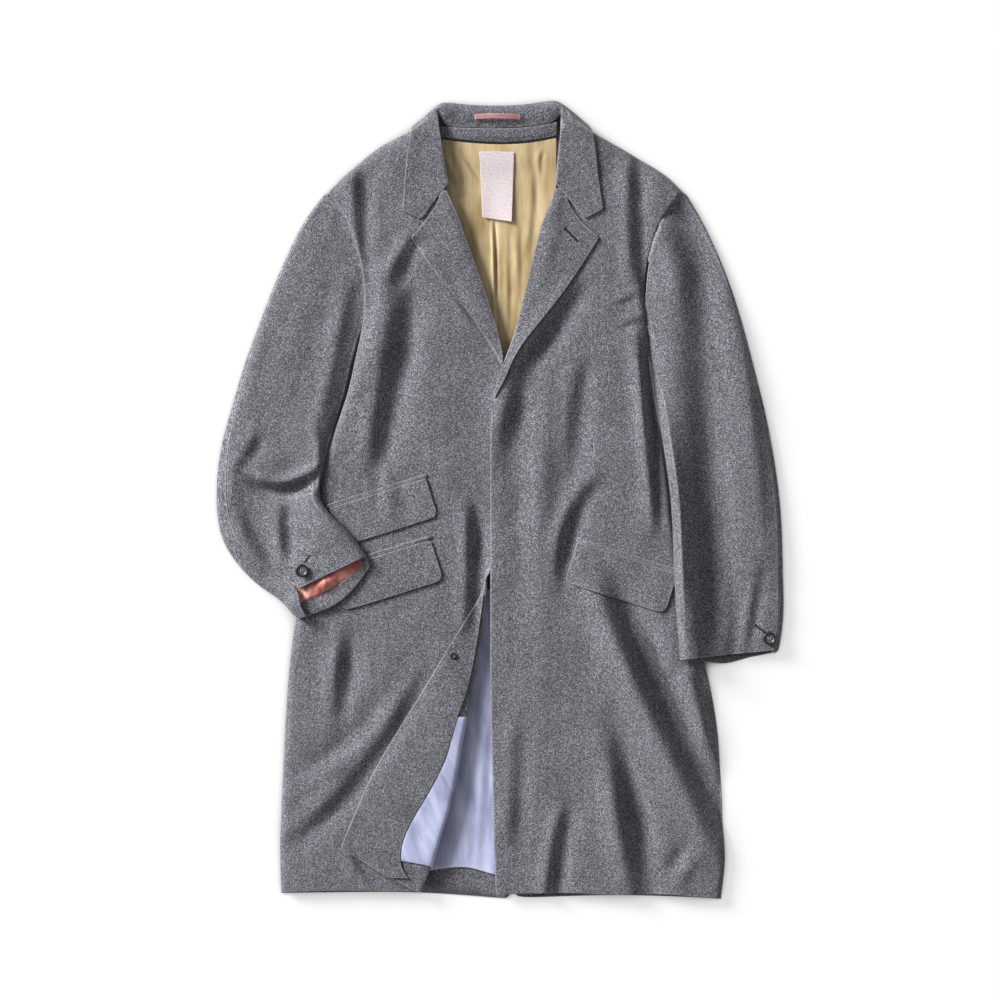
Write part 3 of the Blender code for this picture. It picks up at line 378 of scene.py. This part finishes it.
upperLiningBands = table(bandColumns, """
      -9  352    -7  270    -5  180   2.6 5.5
       9  340    11  280    10  214   4   1.6
      22  352    25  300    22  248   5   1.8
      40  420    44  370    36  318   6   2.4
     -66  432   -54  410   -47  392   5   3.2
     -50  436   -38  415   -28  404   4   2.4
      52  440    48  428    50  412   4   2.0
""")
lowerLiningBands = table(bandColumns, """
     -32 -300   -44 -380   -62 -450   9   2.6
     -66 -330   -84 -390  -100 -450   8  -1.6
     -14 -260   -20 -350   -24 -455   7   2.0
""")
cuffLiningBands = table(bandColumns, """
    -236 -100  -232 -112  -236 -122   3   1.6
    -222  -94  -216 -106  -220 -116   3   1.8
    -208  -86  -204  -94  -206 -104   3   1.4
""")
quietSpots = {  # around the buttons and the buttonholes the cloth lies flat: middle and radius in mm
    "body": [(-60, -195, 8)],
    "right": [(-249, -88, 13)],
    "left": [(337, -174, 13)],
}


def quiet(where, x, y):
    weight = 1.0
    for cx, cy, radius in quietSpots[where]:
        weight = weight * smoothStep(radius * 0.7, radius * 1.5, np.hypot(x - cx, y - cy))
    return weight


def bodyHeight(x, y):
    # The cloth lies flat at the back of the neck, and under the parts of the sleeves that rest on the body.
    calm = smoothStep(430, 465, y)
    underSleeves = smoothStep(195, 215, x) * smoothStep(-225, -205, y) * (1 - smoothStep(90, 115, y))
    underSleeves += (1 - smoothStep(-175, -155, x)) * smoothStep(-165, -145, y) * (1 - smoothStep(20, 45, y))
    soft = 0.9 * unevenness(x, y, 34, 3) + 0.3 * unevenness(x, y, 14, 5)
    return (bandHeight(bodyBands, x, y) + soft) * (1 - calm) * (1 - underSleeves) * quiet("body", x, y)


def sleeveHeight(side, x, y):
    soft = 0.9 * unevenness(x, y, 28, 21) + 0.3 * unevenness(x, y, 12, 22)
    bands = sleeveRightBands if side == "right" else sleeveLeftBands
    return (bandHeight(bands, x, y) + soft) * quiet(side, x, y)


def neckHeight(x, y, z):
    # At the back of the neck the collar and its stand lie flatter.
    flatter = 0.5 * (1 - smoothStep(46, 68, abs(x + 2))) * smoothStep(445, 460, y) * smoothStep(4.5, 6.5, z)
    return flatter * (12.2 - z)


def cuffLiningHeight(x, y):
    # The lining swells in the middle of the open cuff, with small creases along the arm.
    along = (x + 221) * 0.83 + (y + 103) * 0.56
    across = (y + 103) * 0.83 - (x + 221) * 0.56
    swell = 7.5 * np.exp(-(along / 19) ** 2 - (across / 9) ** 2)
    return swell + bandHeight(cuffLiningBands, x, y) + 0.5 * unevenness(x, y, 7, 15)


def upperLiningHeight(x, y):
    folds = bandHeight(upperLiningBands, x, y) + 0.3 * unevenness(x, y * 0.3, 8, 11)
    return folds * smoothStep(452, 440, y)


def lowerLiningHeight(x, y):
    return bandHeight(lowerLiningBands, x, y) + 0.4 * unevenness(x, y * 0.3, 10, 12)


# What a user may change for each piece. "levels" is its subdivision and "grain" how far its grain is turned
# from the coat's length, in degrees. A "side" makes the grain follow that sleeve, and "rimUp" is for an
# under sleeve, whose rim turns up. "height" gives the folds. "sewnTo" names the pieces that its rim is drawn
# to. Each row of "eased" moves the cloth round a point: its x and y, the move in x and y, and the radius, in
# mm. "flat" and "area" are the cut that shows, in metres.
clothPieces = {
    "back_left": {"cloth": "wool", "levels": 2, "grain": 0, "flat": (0.3, 0.96), "area": 0.213},
    "back_right": {"cloth": "wool", "levels": 2, "grain": 0, "flat": (0.3, 0.96), "area": 0.222},
    "front_left": {
        "cloth": "wool", "levels": 3, "grain": 0, "height": bodyHeight,
        "eased": [(66, 386, 3.0, 0.0, 34)], "flat": (0.31, 0.99), "area": 0.213},
    "front_right": {
        "cloth": "wool", "levels": 3, "grain": 0, "height": bodyHeight, "flat": (0.31, 0.99), "area": 0.22},
    "facing_right": {
        "cloth": "wool", "levels": 3, "grain": 14, "height": bodyHeight,
        "flat": (0.08, 0.37), "area": 0.0206},
    "collar": {
        "cloth": "wool", "levels": 3, "grain": 8, "height": bodyHeight, "flatNeck": True,
        "eased": [(-67, 400, 2.4, 0.0, 40)], "flat": (0.43, 0.1), "area": 0.0278},
    "lapel_left": {
        "cloth": "wool", "levels": 3, "grain": -24, "height": bodyHeight, "sewnTo": ["collar"],
        "eased": [(66, 386, 3.4, 2.0, 34), (60, 388, 0.0, 4.0, 18)], "flat": (0.1, 0.27), "area": 0.0099},
    "lapel_right": {
        "cloth": "wool", "levels": 3, "grain": 24, "height": bodyHeight, "sewnTo": ["collar"],
        "eased": [(-63, 386, -2.6, 3.0, 26)], "flat": (0.09, 0.22), "area": 0.0085},
    "collar_stand": {
        "cloth": "wool", "levels": 2, "grain": 90, "flatNeck": True, "flat": (0.15, 0.03), "area": 0.0026},
    "sleeve_left_top": {
        "cloth": "wool", "levels": 3, "side": "left", "sewnTo": ["front_left", "back_left"],
        "flat": (0.2, 0.6), "area": 0.069},
    "sleeve_left_under": {
        "cloth": "wool", "levels": 3, "side": "left", "rimUp": True, "sewnTo": ["front_left", "back_left"],
        "eased": [(282, -204, 0.0, -4.0, 36)], "flat": (0.2, 0.6), "area": 0.078},
    "sleeve_right_top": {
        "cloth": "wool", "levels": 3, "side": "right", "sewnTo": ["front_right", "back_right"],
        "flat": (0.2, 0.55), "area": 0.056},
    "sleeve_right_under": {
        "cloth": "wool", "levels": 3, "side": "right", "rimUp": True, "sewnTo": ["front_right", "back_right"],
        "eased": [(-250, -130, -5.0, -1.0, 24)], "flat": (0.2, 0.6), "area": 0.074},
    "cuff_hem_right": {
        "cloth": "wool", "levels": 3, "grain": 40, "sewnTo": ["sleeve_right_under"],
        "eased": [(-237, -133, -10.0, -2.0, 28)], "flat": (0.08, 0.025), "area": 0.00145},
    "flap_left": {
        "cloth": "wool", "levels": 3, "grain": 18, "height": bodyHeight,
        "flat": (0.136, 0.056), "area": 0.0072},
    "flap_right": {
        "cloth": "wool", "levels": 3, "grain": -18, "height": bodyHeight,
        "flat": (0.136, 0.056), "area": 0.0072},
    "flap_ticket": {
        "cloth": "wool", "levels": 3, "grain": -18, "height": bodyHeight,
        "flat": (0.132, 0.053), "area": 0.0067},
    "jet_left": {
        "cloth": "wool", "levels": 2, "grain": 18, "height": bodyHeight,
        "flat": (0.132, 0.01), "area": 0.00085},
    "jet_right": {
        "cloth": "wool", "levels": 2, "grain": -18, "height": bodyHeight,
        "flat": (0.132, 0.01), "area": 0.00085},
    "jet_ticket": {
        "cloth": "wool", "levels": 2, "grain": -18, "height": bodyHeight,
        "flat": (0.132, 0.01), "area": 0.00085},
    "lining_back_upper": {
        "cloth": "beige", "levels": 4, "grain": 0, "height": upperLiningHeight,
        "flat": (0.15, 0.31), "area": 0.0436},
    "lining_back_lower": {
        "cloth": "lavender", "levels": 3, "grain": 0, "height": lowerLiningHeight,
        "flat": (0.13, 0.37), "area": 0.045},
    "lining_front_right": {
        "cloth": "lavender", "levels": 2, "grain": 20, "height": bodyHeight, "pressed": False,
        "flat": (0.05, 0.19), "area": 0.0061},
    "lining_sleeve_right": {
        "cloth": "coral", "levels": 4, "grain": 40, "height": cuffLiningHeight,
        "sewnTo": ["cuff_hem_right", "sleeve_right_under"], "eased": [(-245, -121, -7.0, -7.0, 24)],
        "flat": (0.1, 0.1), "area": 0.0055},
    "label": {"cloth": "tape", "levels": 3, "grain": 2, "flat": (0.044, 0.089), "area": 0.0036},
    "hanging_loop": {"cloth": "loop", "levels": 3, "grain": 90, "flat": (0.057, 0.01), "area": 0.00043},
}
rimCrease = 0.5  # keeps the wall's rim near its place, then rounds it
pressedWidth = (0.5, 2.4)  # mm from the rim, between which the pressed edge and its painted highlight fade out
bodyRoom, sleeveRoom = (4.4, 9), (5.5, 11)  # mm over what is below, where folds start and are at full depth
seams = {  # in mm, and the share of the gap that is closed
    "reach": 3.0, "sleeveHead": 6.5, "headFrom": 300, "pull": 0.94}
grainOverEdge = 0.8  # share of the height that is added to the grain
grainTurn = 0.15  # m from the grain's middle, from which the share is added in full
sleeveLines = {  # the middle of each sleeve, from the shoulder to the cuff, in mm
    "right": [(-190, 330), (-235, 240), (-270, 150), (-292, 70), (-296, 15), (-268, -45), (-210, -110)],
    "left": [(205, 330), (245, 230), (268, 130), (280, 40), (286, -60), (288, -210)],
}


def weldedQuads(nodeName):
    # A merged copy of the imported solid, with its triangles paired into quads and its rim creased.
    form = bmesh.new()
    form.from_mesh(nodes[nodeName].data)
    bmesh.ops.remove_doubles(form, verts=form.verts, dist=2e-5)
    bmesh.ops.join_triangles(form, faces=form.faces, angle_face_threshold=math.radians(40),
                             angle_shape_threshold=math.radians(150))
    crease = form.edges.layers.float.new("crease_edge")
    rim = []
    for edge in form.edges:
        if len(edge.link_faces) == 2 and edge.calc_face_angle(0) > math.radians(55):
            edge[crease] = rimCrease
            count = max(2, int(edge.calc_length() / mm))
            rim += [edge.verts[0].co.lerp(edge.verts[1].co, k / count) for k in range(count + 1)]
    mesh = bpy.data.meshes.new(nodeName + "_cloth")
    form.to_mesh(mesh)
    form.free()
    nearRim = KDTree(len(rim))
    for k, point in enumerate(rim):
        nearRim.insert(point, k)
    nearRim.balance()
    return mesh, nearRim


def finishedMesh(obj):
    graph = bpy.context.evaluated_depsgraph_get()
    done = bpy.data.meshes.new_from_object(obj.evaluated_get(graph))
    old = obj.data
    obj.modifiers.clear()
    obj.data = done
    bpy.data.meshes.remove(old)
    return obj


def pointsOf(mesh):
    flat = np.empty(len(mesh.vertices) * 3)
    mesh.vertices.foreach_get("co", flat)
    return flat.reshape(-1, 3)


def setPoints(mesh, points):
    mesh.vertices.foreach_set("co", points.astype(np.float32).ravel())
    mesh.update()


def grainOfSleeve(x, y, side):
    # Metres across and along the sleeve's middle line, which bends at the elbow.
    line = np.array(sleeveLines[side]) * mm
    steps = np.diff(line, axis=0)
    lengths = np.hypot(steps[:, 0], steps[:, 1])
    starts = np.concatenate([[0], np.cumsum(lengths)[:-1]])
    total, across, along = 0, 0, 0
    for (ax, ay), (dx, dy), length, start in zip(line, steps / lengths[:, None], lengths, starts):
        t = (x - ax) * dx + (y - ay) * dy
        aside = -(x - ax) * dy + (y - ay) * dx
        beyond = np.maximum(np.maximum(-t, t - length), 0)
        weight = np.exp(-(beyond / 0.02) ** 2) + 1e-6 / (beyond + 0.001)
        total, across, along = total + weight, across + weight * aside, along + weight * (start + t)
    return across / total, -along / total


def grainMap(mesh, points, recipe):
    # Metres across and along the cloth's grain, for the weave.
    x, y = points[:, 0], points[:, 1]
    if "side" in recipe:
        u, v = grainOfSleeve(x, y, recipe["side"])
    else:
        turn = math.radians(recipe["grain"])
        u = x * math.cos(turn) + y * math.sin(turn)
        v = -x * math.sin(turn) + y * math.cos(turn)
    # The height is added in, so that the weave also runs over the turned edges. On the outer wall of an under
    # sleeve it still draws the weave out into upright streaks.
    share = grainOverEdge if recipe.get("rimUp") else -grainOverEdge
    u, v = (way + share * points[:, 2] * np.clip(way / grainTurn, -1, 1) for way in (u, v))
    layer = mesh.uv_layers.new(name="grain")
    corners = np.empty(len(mesh.loops), np.int32)
    mesh.loops.foreach_get("vertex_index", corners)
    layer.data.foreach_set("uv", np.stack([u[corners], v[corners]], axis=1).astype(np.float32).ravel())


def lowestSurface(tree, points):
    # Height of the under wall below each point, or the point's own height where there's none.
    found = points[:, 2].copy()
    up = Vector((0, 0, 1))
    for k, (x, y, _) in enumerate(points):
        hit = tree.ray_cast(Vector((x, y, -0.05)), up)[0]
        if hit is not None:
            found[k] = hit.z
    return found


def surfaceTree(obj):
    form = bmesh.new()
    form.from_mesh(obj.data)
    made = BVHTree.FromBMesh(form)
    form.free()
    return made


def drawToSeams(points, neighbours, headReach):
    # Brings the rim of a piece to those that it's sewn to, so that the seam is closed.
    for neighbour in neighbours:
        tree = surfaceTree(neighbour)
        for k, point in enumerate(points):
            within = headReach if point[1] > seams["headFrom"] * mm else seams["reach"]
            hit, _, _, distance = tree.find_nearest(Vector(point), within * mm)
            if hit is not None:
                pull = seams["pull"] * (1 - smoothStep(within / 3, within, distance / mm))
                points[k] += (np.array(hit) - point) * pull


def raised(height, free):
    # Where the cloth below leaves no room, from 0 to 1, only the ridges stay.
    return np.where(height > 0, height * (0.45 * smoothStep(0, 0.12, free) + 0.55 * free), height * free)


def makeCloth(nodeName, recipe):
    welded, nearRim = weldedQuads(nodeName)
    obj = bpy.data.objects.new(nodeName + "_cloth", welded)
    bpy.context.scene.collection.objects.link(obj)
    rounded = obj.modifiers.new("Rounded", "SUBSURF")
    rounded.levels = rounded.render_levels = recipe["levels"]
    finishedMesh(obj)
    mesh = obj.data
    points = pointsOf(mesh)
    grainMap(mesh, points, recipe)
    if recipe.get("pressed", True):
        # The pressedEdge mask marks the rims that get a painted highlight in the cloth's colour.
        pressed = mesh.attributes.new("pressedEdge", "FLOAT", "POINT")
        away = np.array([nearRim.find(Vector(point))[2] for point in points])
        pressed.data.foreach_set("value", (1 - smoothStep(*pressedWidth, away / mm)).astype(np.float32))
    x, y = points[:, 0] / mm, points[:, 1] / mm
    if "side" in recipe:
        floor = lowestSurface(sleeveTrees[recipe["side"]], points)
        free = smoothStep(*sleeveRoom, (points[:, 2] - floor) / mm)
        points[:, 2] += raised(sleeveHeight(recipe["side"], x, y), free) * mm
    elif "height" in recipe:
        free = smoothStep(*bodyRoom, points[:, 2] / mm) if recipe["height"] is bodyHeight else 1
        points[:, 2] += raised(recipe["height"](x, y), free) * mm
    if recipe.get("flatNeck"):
        points[:, 2] += neckHeight(x, y, points[:, 2] / mm) * mm
    for cx, cy, dx, dy, reach in recipe.get("eased", []):
        weight = 1 - smoothStep(0, reach, np.hypot(x - cx, y - cy))
        points[:, :2] += np.stack([dx * weight, dy * weight], axis=1) * mm
    headReach = seams["sleeveHead"] if "side" in recipe else seams["reach"]
    drawToSeams(points, [cloth[name] for name in recipe.get("sewnTo", [])], headReach)
    points[:, 2] = np.maximum(points[:, 2], 0.0)
    setPoints(mesh, points)
    mesh.shade_smooth()
    mesh.materials.clear()
    mesh.materials.append(materials[recipe["cloth"]])
    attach(obj, "root")
    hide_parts(nodeName)
    return obj


cloth = {}
sleeveTrees = {side: surfaceTree(nodes[f"sleeve_{side}_under"]) for side in ("left", "right")}
for nodeName, recipe in clothPieces.items():
    cloth[nodeName] = makeCloth(nodeName, recipe)
print("cloth made:", len(cloth), "pieces,", sum(len(o.data.polygons) for o in cloth.values()), "faces")


# Buttons, buttonholes and stitches

def plainObject(name, mesh, material):
    obj = bpy.data.objects.new(name, mesh)
    bpy.context.scene.collection.objects.link(obj)
    mesh.materials.clear()
    mesh.materials.append(material)
    return obj


def placed(obj, place):
    # Writes a place into the mesh, so that the object stays at the origin, unscaled.
    obj.data.transform(place)
    obj.data.update()
    return obj


buttons = {  # turn of the sewing holes in radians, real height in mm
    "button_cuff_right": {"turn": 0.3, "height": 3.4, "sewnThrough": True},
    "button_cuff_left": {"turn": 0.1, "height": 3.4, "sewnThrough": True},
    "button_facing": {"turn": 0.0, "height": 2.2, "sewnThrough": False},
}
holeCircle, holeRadius = 2.1, 0.75  # mm, from the button's middle to a hole's, and a hole's own
threadShift = 0.24  # mm from a hole's middle to each of its two threads


def threadBar(name, ends, rise, radius, material):
    # One sewing thread as a low arch between two holes.
    curve = bpy.data.curves.new(name, "CURVE")
    curve.dimensions, curve.bevel_depth, curve.bevel_resolution = "3D", radius * mm, 3
    for a, b in ends:
        line = curve.splines.new("POLY")
        line.points.add(8)
        for k in range(9):
            f = k / 8
            arch = rise * (1 - (2 * f - 1) ** 4) - 0.9 * (2 * f - 1) ** 8
            line.points[k].co = (*[(a[i] * (1 - f) + b[i] * f) * mm for i in (0, 1)], (a[2] + arch) * mm, 1)
    source = bpy.data.objects.new(name, curve)
    bpy.context.scene.collection.objects.link(source)
    graph = bpy.context.evaluated_depsgraph_get()
    mesh = bpy.data.meshes.new_from_object(source.evaluated_get(graph))
    bpy.data.objects.remove(source)
    return plainObject(name, mesh, material)


def makeButton(nodeName, recipe):
    low, high = (Vector(corner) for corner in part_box(nodeName))
    radius = max(high.x - low.x, high.y - low.y) / 2 / mm
    facing = Vector()
    for face in nodes[nodeName].data.polygons:
        if face.normal.z > 0.8:
            facing += face.normal * face.area
    facing.normalize()
    tall = recipe["height"]
    rise = Vector(facing) * (tall / 2 * mm)
    place = facing.to_track_quat("Z", "Y").to_matrix().to_4x4()
    place.translation = (low + high) / 2 - rise
    place = place @ Matrix.Rotation(recipe["turn"], 4, "Z")
    dish = 0.56 * tall
    profile = [(0, dish), (0.5, dish), (0.6, dish * 1.08), (0.68, tall * 0.82), (0.74, tall * 0.95),
               (0.8, tall), (0.86, tall * 0.99), (0.93, tall * 0.9), (0.98, tall * 0.72), (1, tall * 0.52),
               (0.97, tall * 0.25), (0.86, 0.02), (0, 0)]
    form = bmesh.new()
    ring = [form.verts.new((share * radius * mm, 0, height * mm)) for share, height in profile]
    edges = [form.edges.new(pair) for pair in zip(ring[:-1], ring[1:])]
    bmesh.ops.spin(form, geom=ring + edges, axis=(0, 0, 1), cent=(0, 0, 0), dvec=(0, 0, 0),
                   angle=math.tau, steps=64, use_merge=True)
    bmesh.ops.remove_doubles(form, verts=form.verts, dist=1e-6)
    bmesh.ops.recalc_face_normals(form, faces=form.faces)
    mesh = bpy.data.meshes.new(nodeName + "_turned")
    form.to_mesh(mesh)
    form.free()
    obj = plainObject(nodeName + "_turned", mesh, materials["horn"])
    turns = [math.tau * (k + 0.5) / 4 for k in range(4)]
    corners = [(holeCircle * math.cos(turn), holeCircle * math.sin(turn)) for turn in turns]
    cutters = []
    if recipe["sewnThrough"]:
        for x, y in corners:
            cutter = bpy.data.meshes.new("needleHole")
            drill = bmesh.new()
            bmesh.ops.create_cone(drill, cap_ends=True, segments=20, radius1=holeRadius * mm,
                                  radius2=holeRadius * mm, depth=12 * mm)
            drill.to_mesh(cutter)
            drill.free()
            cutters.append(bpy.data.objects.new("needleHole", cutter))
            bpy.context.scene.collection.objects.link(cutters[-1])
            cutters[-1].location = (x * mm, y * mm, 0)
            cut = obj.modifiers.new("Hole", "BOOLEAN")
            cut.object, cut.solver = cutters[-1], "EXACT"
    finishedMesh(obj)
    for cutter in cutters:
        bpy.data.objects.remove(cutter)
    obj.data.shade_smooth()
    obj.data.set_sharp_from_angle(angle=math.radians(40))
    turned = pointsOf(obj.data)
    face = (np.hypot(turned[:, 0], turned[:, 1]) < 0.62 * radius * mm) & (turned[:, 2] > 0.9 * dish * mm)
    obj.data.attributes.new("dishedFace", "FLOAT", "POINT").data.foreach_set("value", face.astype(np.float32))
    placed(obj, place)
    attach(obj, "root")
    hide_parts(nodeName)
    if recipe["sewnThrough"]:
        bars = []
        for a, b in ((0, 3), (1, 2)):
            for shift in (-threadShift, threadShift):
                bars.append([(corners[k][0] + shift * 0.3, corners[k][1] + shift, dish) for k in (a, b)])
        thread = threadBar(nodeName + "_thread", bars, 0.45, 0.27, materials["greyThread"])
    else:
        shank = [[(-0.9, 0.3, dish), (0.9, 0.3, dish)], [(-0.9, -0.3, dish), (0.9, -0.3, dish)]]
        thread = threadBar(nodeName + "_thread", shank, 0.35, 0.2, materials["darkThread"])
    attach(placed(thread, place), "root")


for nodeName, recipe in buttons.items():
    makeButton(nodeName, recipe)
print("buttons made:", len(buttons))


def makeStitchTree():
    # Repeats one stitch along a line at an even spacing, turned from the line's direction.
    tree = bpy.data.node_groups.new("stitchesAlongLine", "GeometryNodeTree")
    for name, kind in (("Geometry", "Geometry"), ("Spacing", "Float"), ("Length", "Float"),
                       ("Thickness", "Float"), ("Turn", "Float"), ("Material", "Material")):
        tree.interface.new_socket(name, in_out="INPUT", socket_type="NodeSocket" + kind)
    tree.interface.new_socket("Geometry", in_out="OUTPUT", socket_type="NodeSocketGeometry")
    given = addNode(tree, "NodeGroupInput").outputs
    line = addNode(tree, "GeometryNodeMeshToCurve", None, {"Mesh": given["Geometry"]})
    places = addNode(tree, "GeometryNodeCurveToPoints", {"mode": "LENGTH"}, {
        "Curve": line.outputs["Curve"], "Length": given["Spacing"]})
    along = addNode(tree, "FunctionNodeAlignRotationToVector", {"axis": "X"}, {
        "Vector": places.outputs["Tangent"]})
    turned = addNode(tree, "FunctionNodeAxisAngleToRotation", None, {
        "Axis": (0, 0, 1), "Angle": given["Turn"]})
    rotation = addNode(tree, "FunctionNodeRotateRotation", {"rotation_space": "LOCAL"}, {
        "Rotation": along.outputs["Rotation"], "Rotate By": turned.outputs["Rotation"]})
    size = addNode(tree, "ShaderNodeCombineXYZ", None, {
        "X": given["Length"], "Y": given["Thickness"], "Z": given["Thickness"]})
    bead = addNode(tree, "GeometryNodeMeshUVSphere", None, {"Segments": 10, "Rings": 8, "Radius": 0.5})
    laid = addNode(tree, "GeometryNodeInstanceOnPoints", None, {
        "Points": places.outputs["Points"], "Instance": bead.outputs["Mesh"],
        "Rotation": rotation.outputs["Rotation"], "Scale": size.outputs["Vector"]})
    real = addNode(tree, "GeometryNodeRealizeInstances", None, {"Geometry": laid.outputs["Instances"]})
    dressed = addNode(tree, "GeometryNodeSetMaterial", None, {
        "Geometry": real.outputs["Geometry"], "Material": given["Material"]})
    addNode(tree, "NodeGroupOutput", None, {"Geometry": dressed.outputs["Geometry"]})
    return tree


stitchTree = makeStitchTree()
stitchStep = 0.8  # mm between the points of a stitched line
above = 0.1  # m, from where the cloth under a stitch is looked for
stitchedCloth = ("lapel_left", "sleeve_right_top", "sleeve_right_under", "sleeve_left_top",
                 "sleeve_left_under", "label", "hanging_loop", "collar")
clothTrees = {name: surfaceTree(cloth[name]) for name in stitchedCloth}


def makeStitches(name, line, on, look):
    # Lays stitches on the cloth along a line of points in mm.
    points = []
    for (ax, ay), (bx, by) in zip(line[:-1], line[1:]):
        count = max(1, round(math.hypot(bx - ax, by - ay) / stitchStep))
        points += [(ax + (bx - ax) * k / count, ay + (by - ay) * k / count) for k in range(count)]
    points.append(line[-1])
    laid = []
    for x, y in points:
        start = Vector((x * mm, y * mm, above))
        hits = [clothTrees[piece].ray_cast(start, Vector((0, 0, -1)))[0] for piece in on]
        hits = [hit.z for hit in hits if hit is not None]
        if hits:
            laid.append((x * mm, y * mm, max(hits) + look["lift"] * mm))
    mesh = bpy.data.meshes.new(name)
    mesh.from_pydata(laid, [(k, k + 1) for k in range(len(laid) - 1)], [])
    obj = bpy.data.objects.new(name, mesh)
    bpy.context.scene.collection.objects.link(obj)
    repeat = obj.modifiers.new("Stitches", "NODES")
    repeat.node_group = stitchTree
    sockets = {item.name: item.identifier for item in stitchTree.interface.items_tree
               if item.in_out == "INPUT"}
    for label, value in (("Spacing", look["spacing"] * mm), ("Length", look["length"] * mm),
                         ("Thickness", look["thickness"] * mm), ("Turn", look["turn"]),
                         ("Material", materials[look["thread"]])):
        repeat[sockets[label]] = value
    finishedMesh(obj)
    obj.data.shade_smooth()
    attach(obj, "root")
    return obj


purl = {"spacing": 0.5, "length": 1.3, "thickness": 0.6, "turn": math.pi / 2, "lift": 0.1,
        "thread": "darkThread"}
slit = {"spacing": 0.9, "length": 1.6, "thickness": 0.9, "turn": 0, "lift": 0.0, "thread": "darkThread"}
barTack = dict(slit, lift=0.25)
tackReach = 1.8  # times the half width, past which the bar tack closes the buttonhole's end
buttonholes = {  # from the bar tack to the open end, in mm
    "lapel_buttonhole": {"line": [(80, 342), (97, 325)], "on": ["lapel_left"], "half": 0.9},
    "cuff_right_buttonhole": {"line": [(-246, -78), (-239, -69)],
                              "on": ["sleeve_right_top", "sleeve_right_under"], "half": 0.85},
    "cuff_left_buttonhole": {"line": [(320, -157), (332, -166)],
                             "on": ["sleeve_left_top", "sleeve_left_under"], "half": 0.85},
}


def makeButtonhole(name, recipe):
    (ax, ay), (bx, by) = recipe["line"]
    length = math.hypot(bx - ax, by - ay)
    sideX, sideY = -(by - ay) / length * recipe["half"], (bx - ax) / length * recipe["half"]
    for label, sign in (("upper", 1), ("lower", -1)):
        row = [(ax + sign * sideX, ay + sign * sideY), (bx + sign * sideX, by + sign * sideY)]
        makeStitches(f"{name}_{label}", row, recipe["on"], purl)
    makeStitches(name + "_slit", recipe["line"], recipe["on"], slit)
    tack = [(ax + sign * tackReach * sideX, ay + sign * tackReach * sideY) for sign in (1, -1)]
    makeStitches(name + "_tack", tack, recipe["on"], barTack)


for name, recipe in buttonholes.items():
    makeButtonhole(name, recipe)

labelStitch = {"spacing": 3.0, "length": 2.3, "thickness": 0.4, "turn": 0, "lift": 0.02,
               "thread": "paleThread"}
loopTack = {"spacing": 0.8, "length": 2.2, "thickness": 0.4, "turn": 1.4, "lift": 0.1, "thread": "pinkThread"}
stitchRows = {
    "label_top_stitches": {"line": [(-25, 436.6), (15, 436.2)], "on": ["label"], "look": labelStitch},
    "loop_tack_right": {
        "line": [(-30.2, 479), (-30.2, 485)], "on": ["hanging_loop", "collar"], "look": loopTack},
    "loop_tack_left": {
        "line": [(23.5, 479), (23.5, 485)], "on": ["hanging_loop", "collar"],
        "look": dict(loopTack, turn=1.7)},
}
for name, recipe in stitchRows.items():
    makeStitches(name, recipe["line"], recipe["on"], recipe["look"])
print("stitches made:", 4 * len(buttonholes) + len(stitchRows), "rows")


# Floor, light and camera

def makeStudio():
    reach, level = studio["floorReach"], studio["floorLevel"]
    corners = [(-reach, -reach, level), (reach, -reach, level), (reach, reach, level), (-reach, reach, level)]
    mesh = bpy.data.meshes.new("floor")
    mesh.from_pydata(corners, [], [(0, 1, 2, 3)])
    floor = bpy.data.objects.new("floor", mesh)
    bpy.context.scene.collection.objects.link(floor)
    # The sheet glows by its own emission, a painted light, and an occlusion mask dims the glow under the coat
    # and in its gaps, a painted shade.
    paper, tree, shader = newMaterial("paperWithPaintedGlow", {
        "Base Color": linearColour("#8C8C8C"), "Roughness": 0.9, "Specular IOR Level": 0.1,
        "Emission Color": linearColour("#FFFFFF")})
    openness = addNode(tree, "ShaderNodeAmbientOcclusion", {"samples": 8}, {"Distance": studio["shadeReach"]})
    glow = addNode(tree, "ShaderNodeMapRange", {"interpolation_type": "SMOOTHSTEP"}, {
        "Value": openness.outputs["AO"], "From Min": 0.2, "From Max": 0.85, "To Max": studio["floorGlow"]})
    tree.links.new(glow.outputs["Result"], shader.inputs["Emission Strength"])
    mesh.materials.append(paper)
    world = bpy.data.worlds.new("studio")
    bpy.context.scene.world = world
    world.use_nodes = True
    world.node_tree.nodes["Background"].inputs["Color"].default_value = linearColour("#FFFFFF")
    world.node_tree.nodes["Background"].inputs["Strength"].default_value = studio["sky"]
    sun = bpy.data.lights.new("key", "SUN")
    sun.energy, sun.angle = studio["key"], math.radians(studio["softness"])
    key = bpy.data.objects.new("key", sun)
    height = math.radians(studio["keyHeight"])
    towards = Vector((lightFrom[0] * math.cos(height), lightFrom[1] * math.cos(height), math.sin(height)))
    key.rotation_euler = towards.to_track_quat("Z", "Y").to_euler()
    bpy.context.scene.collection.objects.link(key)
    window = bpy.data.lights.new("side", "AREA")
    window.energy, window.size = studio["side"], studio["sideSize"]
    side = bpy.data.objects.new("side", window)
    side.location = studio["sideFrom"]
    side.rotation_euler = Vector(side.location).to_track_quat("Z", "Y").to_euler()
    bpy.context.scene.collection.objects.link(side)
    camera = bpy.data.objects.new("camera", bpy.data.cameras.new("camera"))
    camera.data.lens, camera.data.sensor_width = studio["lens"], studio["sensor"]
    camera.location = (*studio["centre"], studio["spread"] / studio["sensor"] * studio["lens"])
    bpy.context.scene.collection.objects.link(camera)
    bpy.context.scene.camera = camera
    bpy.context.scene.view_settings.view_transform = "Standard"


makeStudio()
print("studio set")
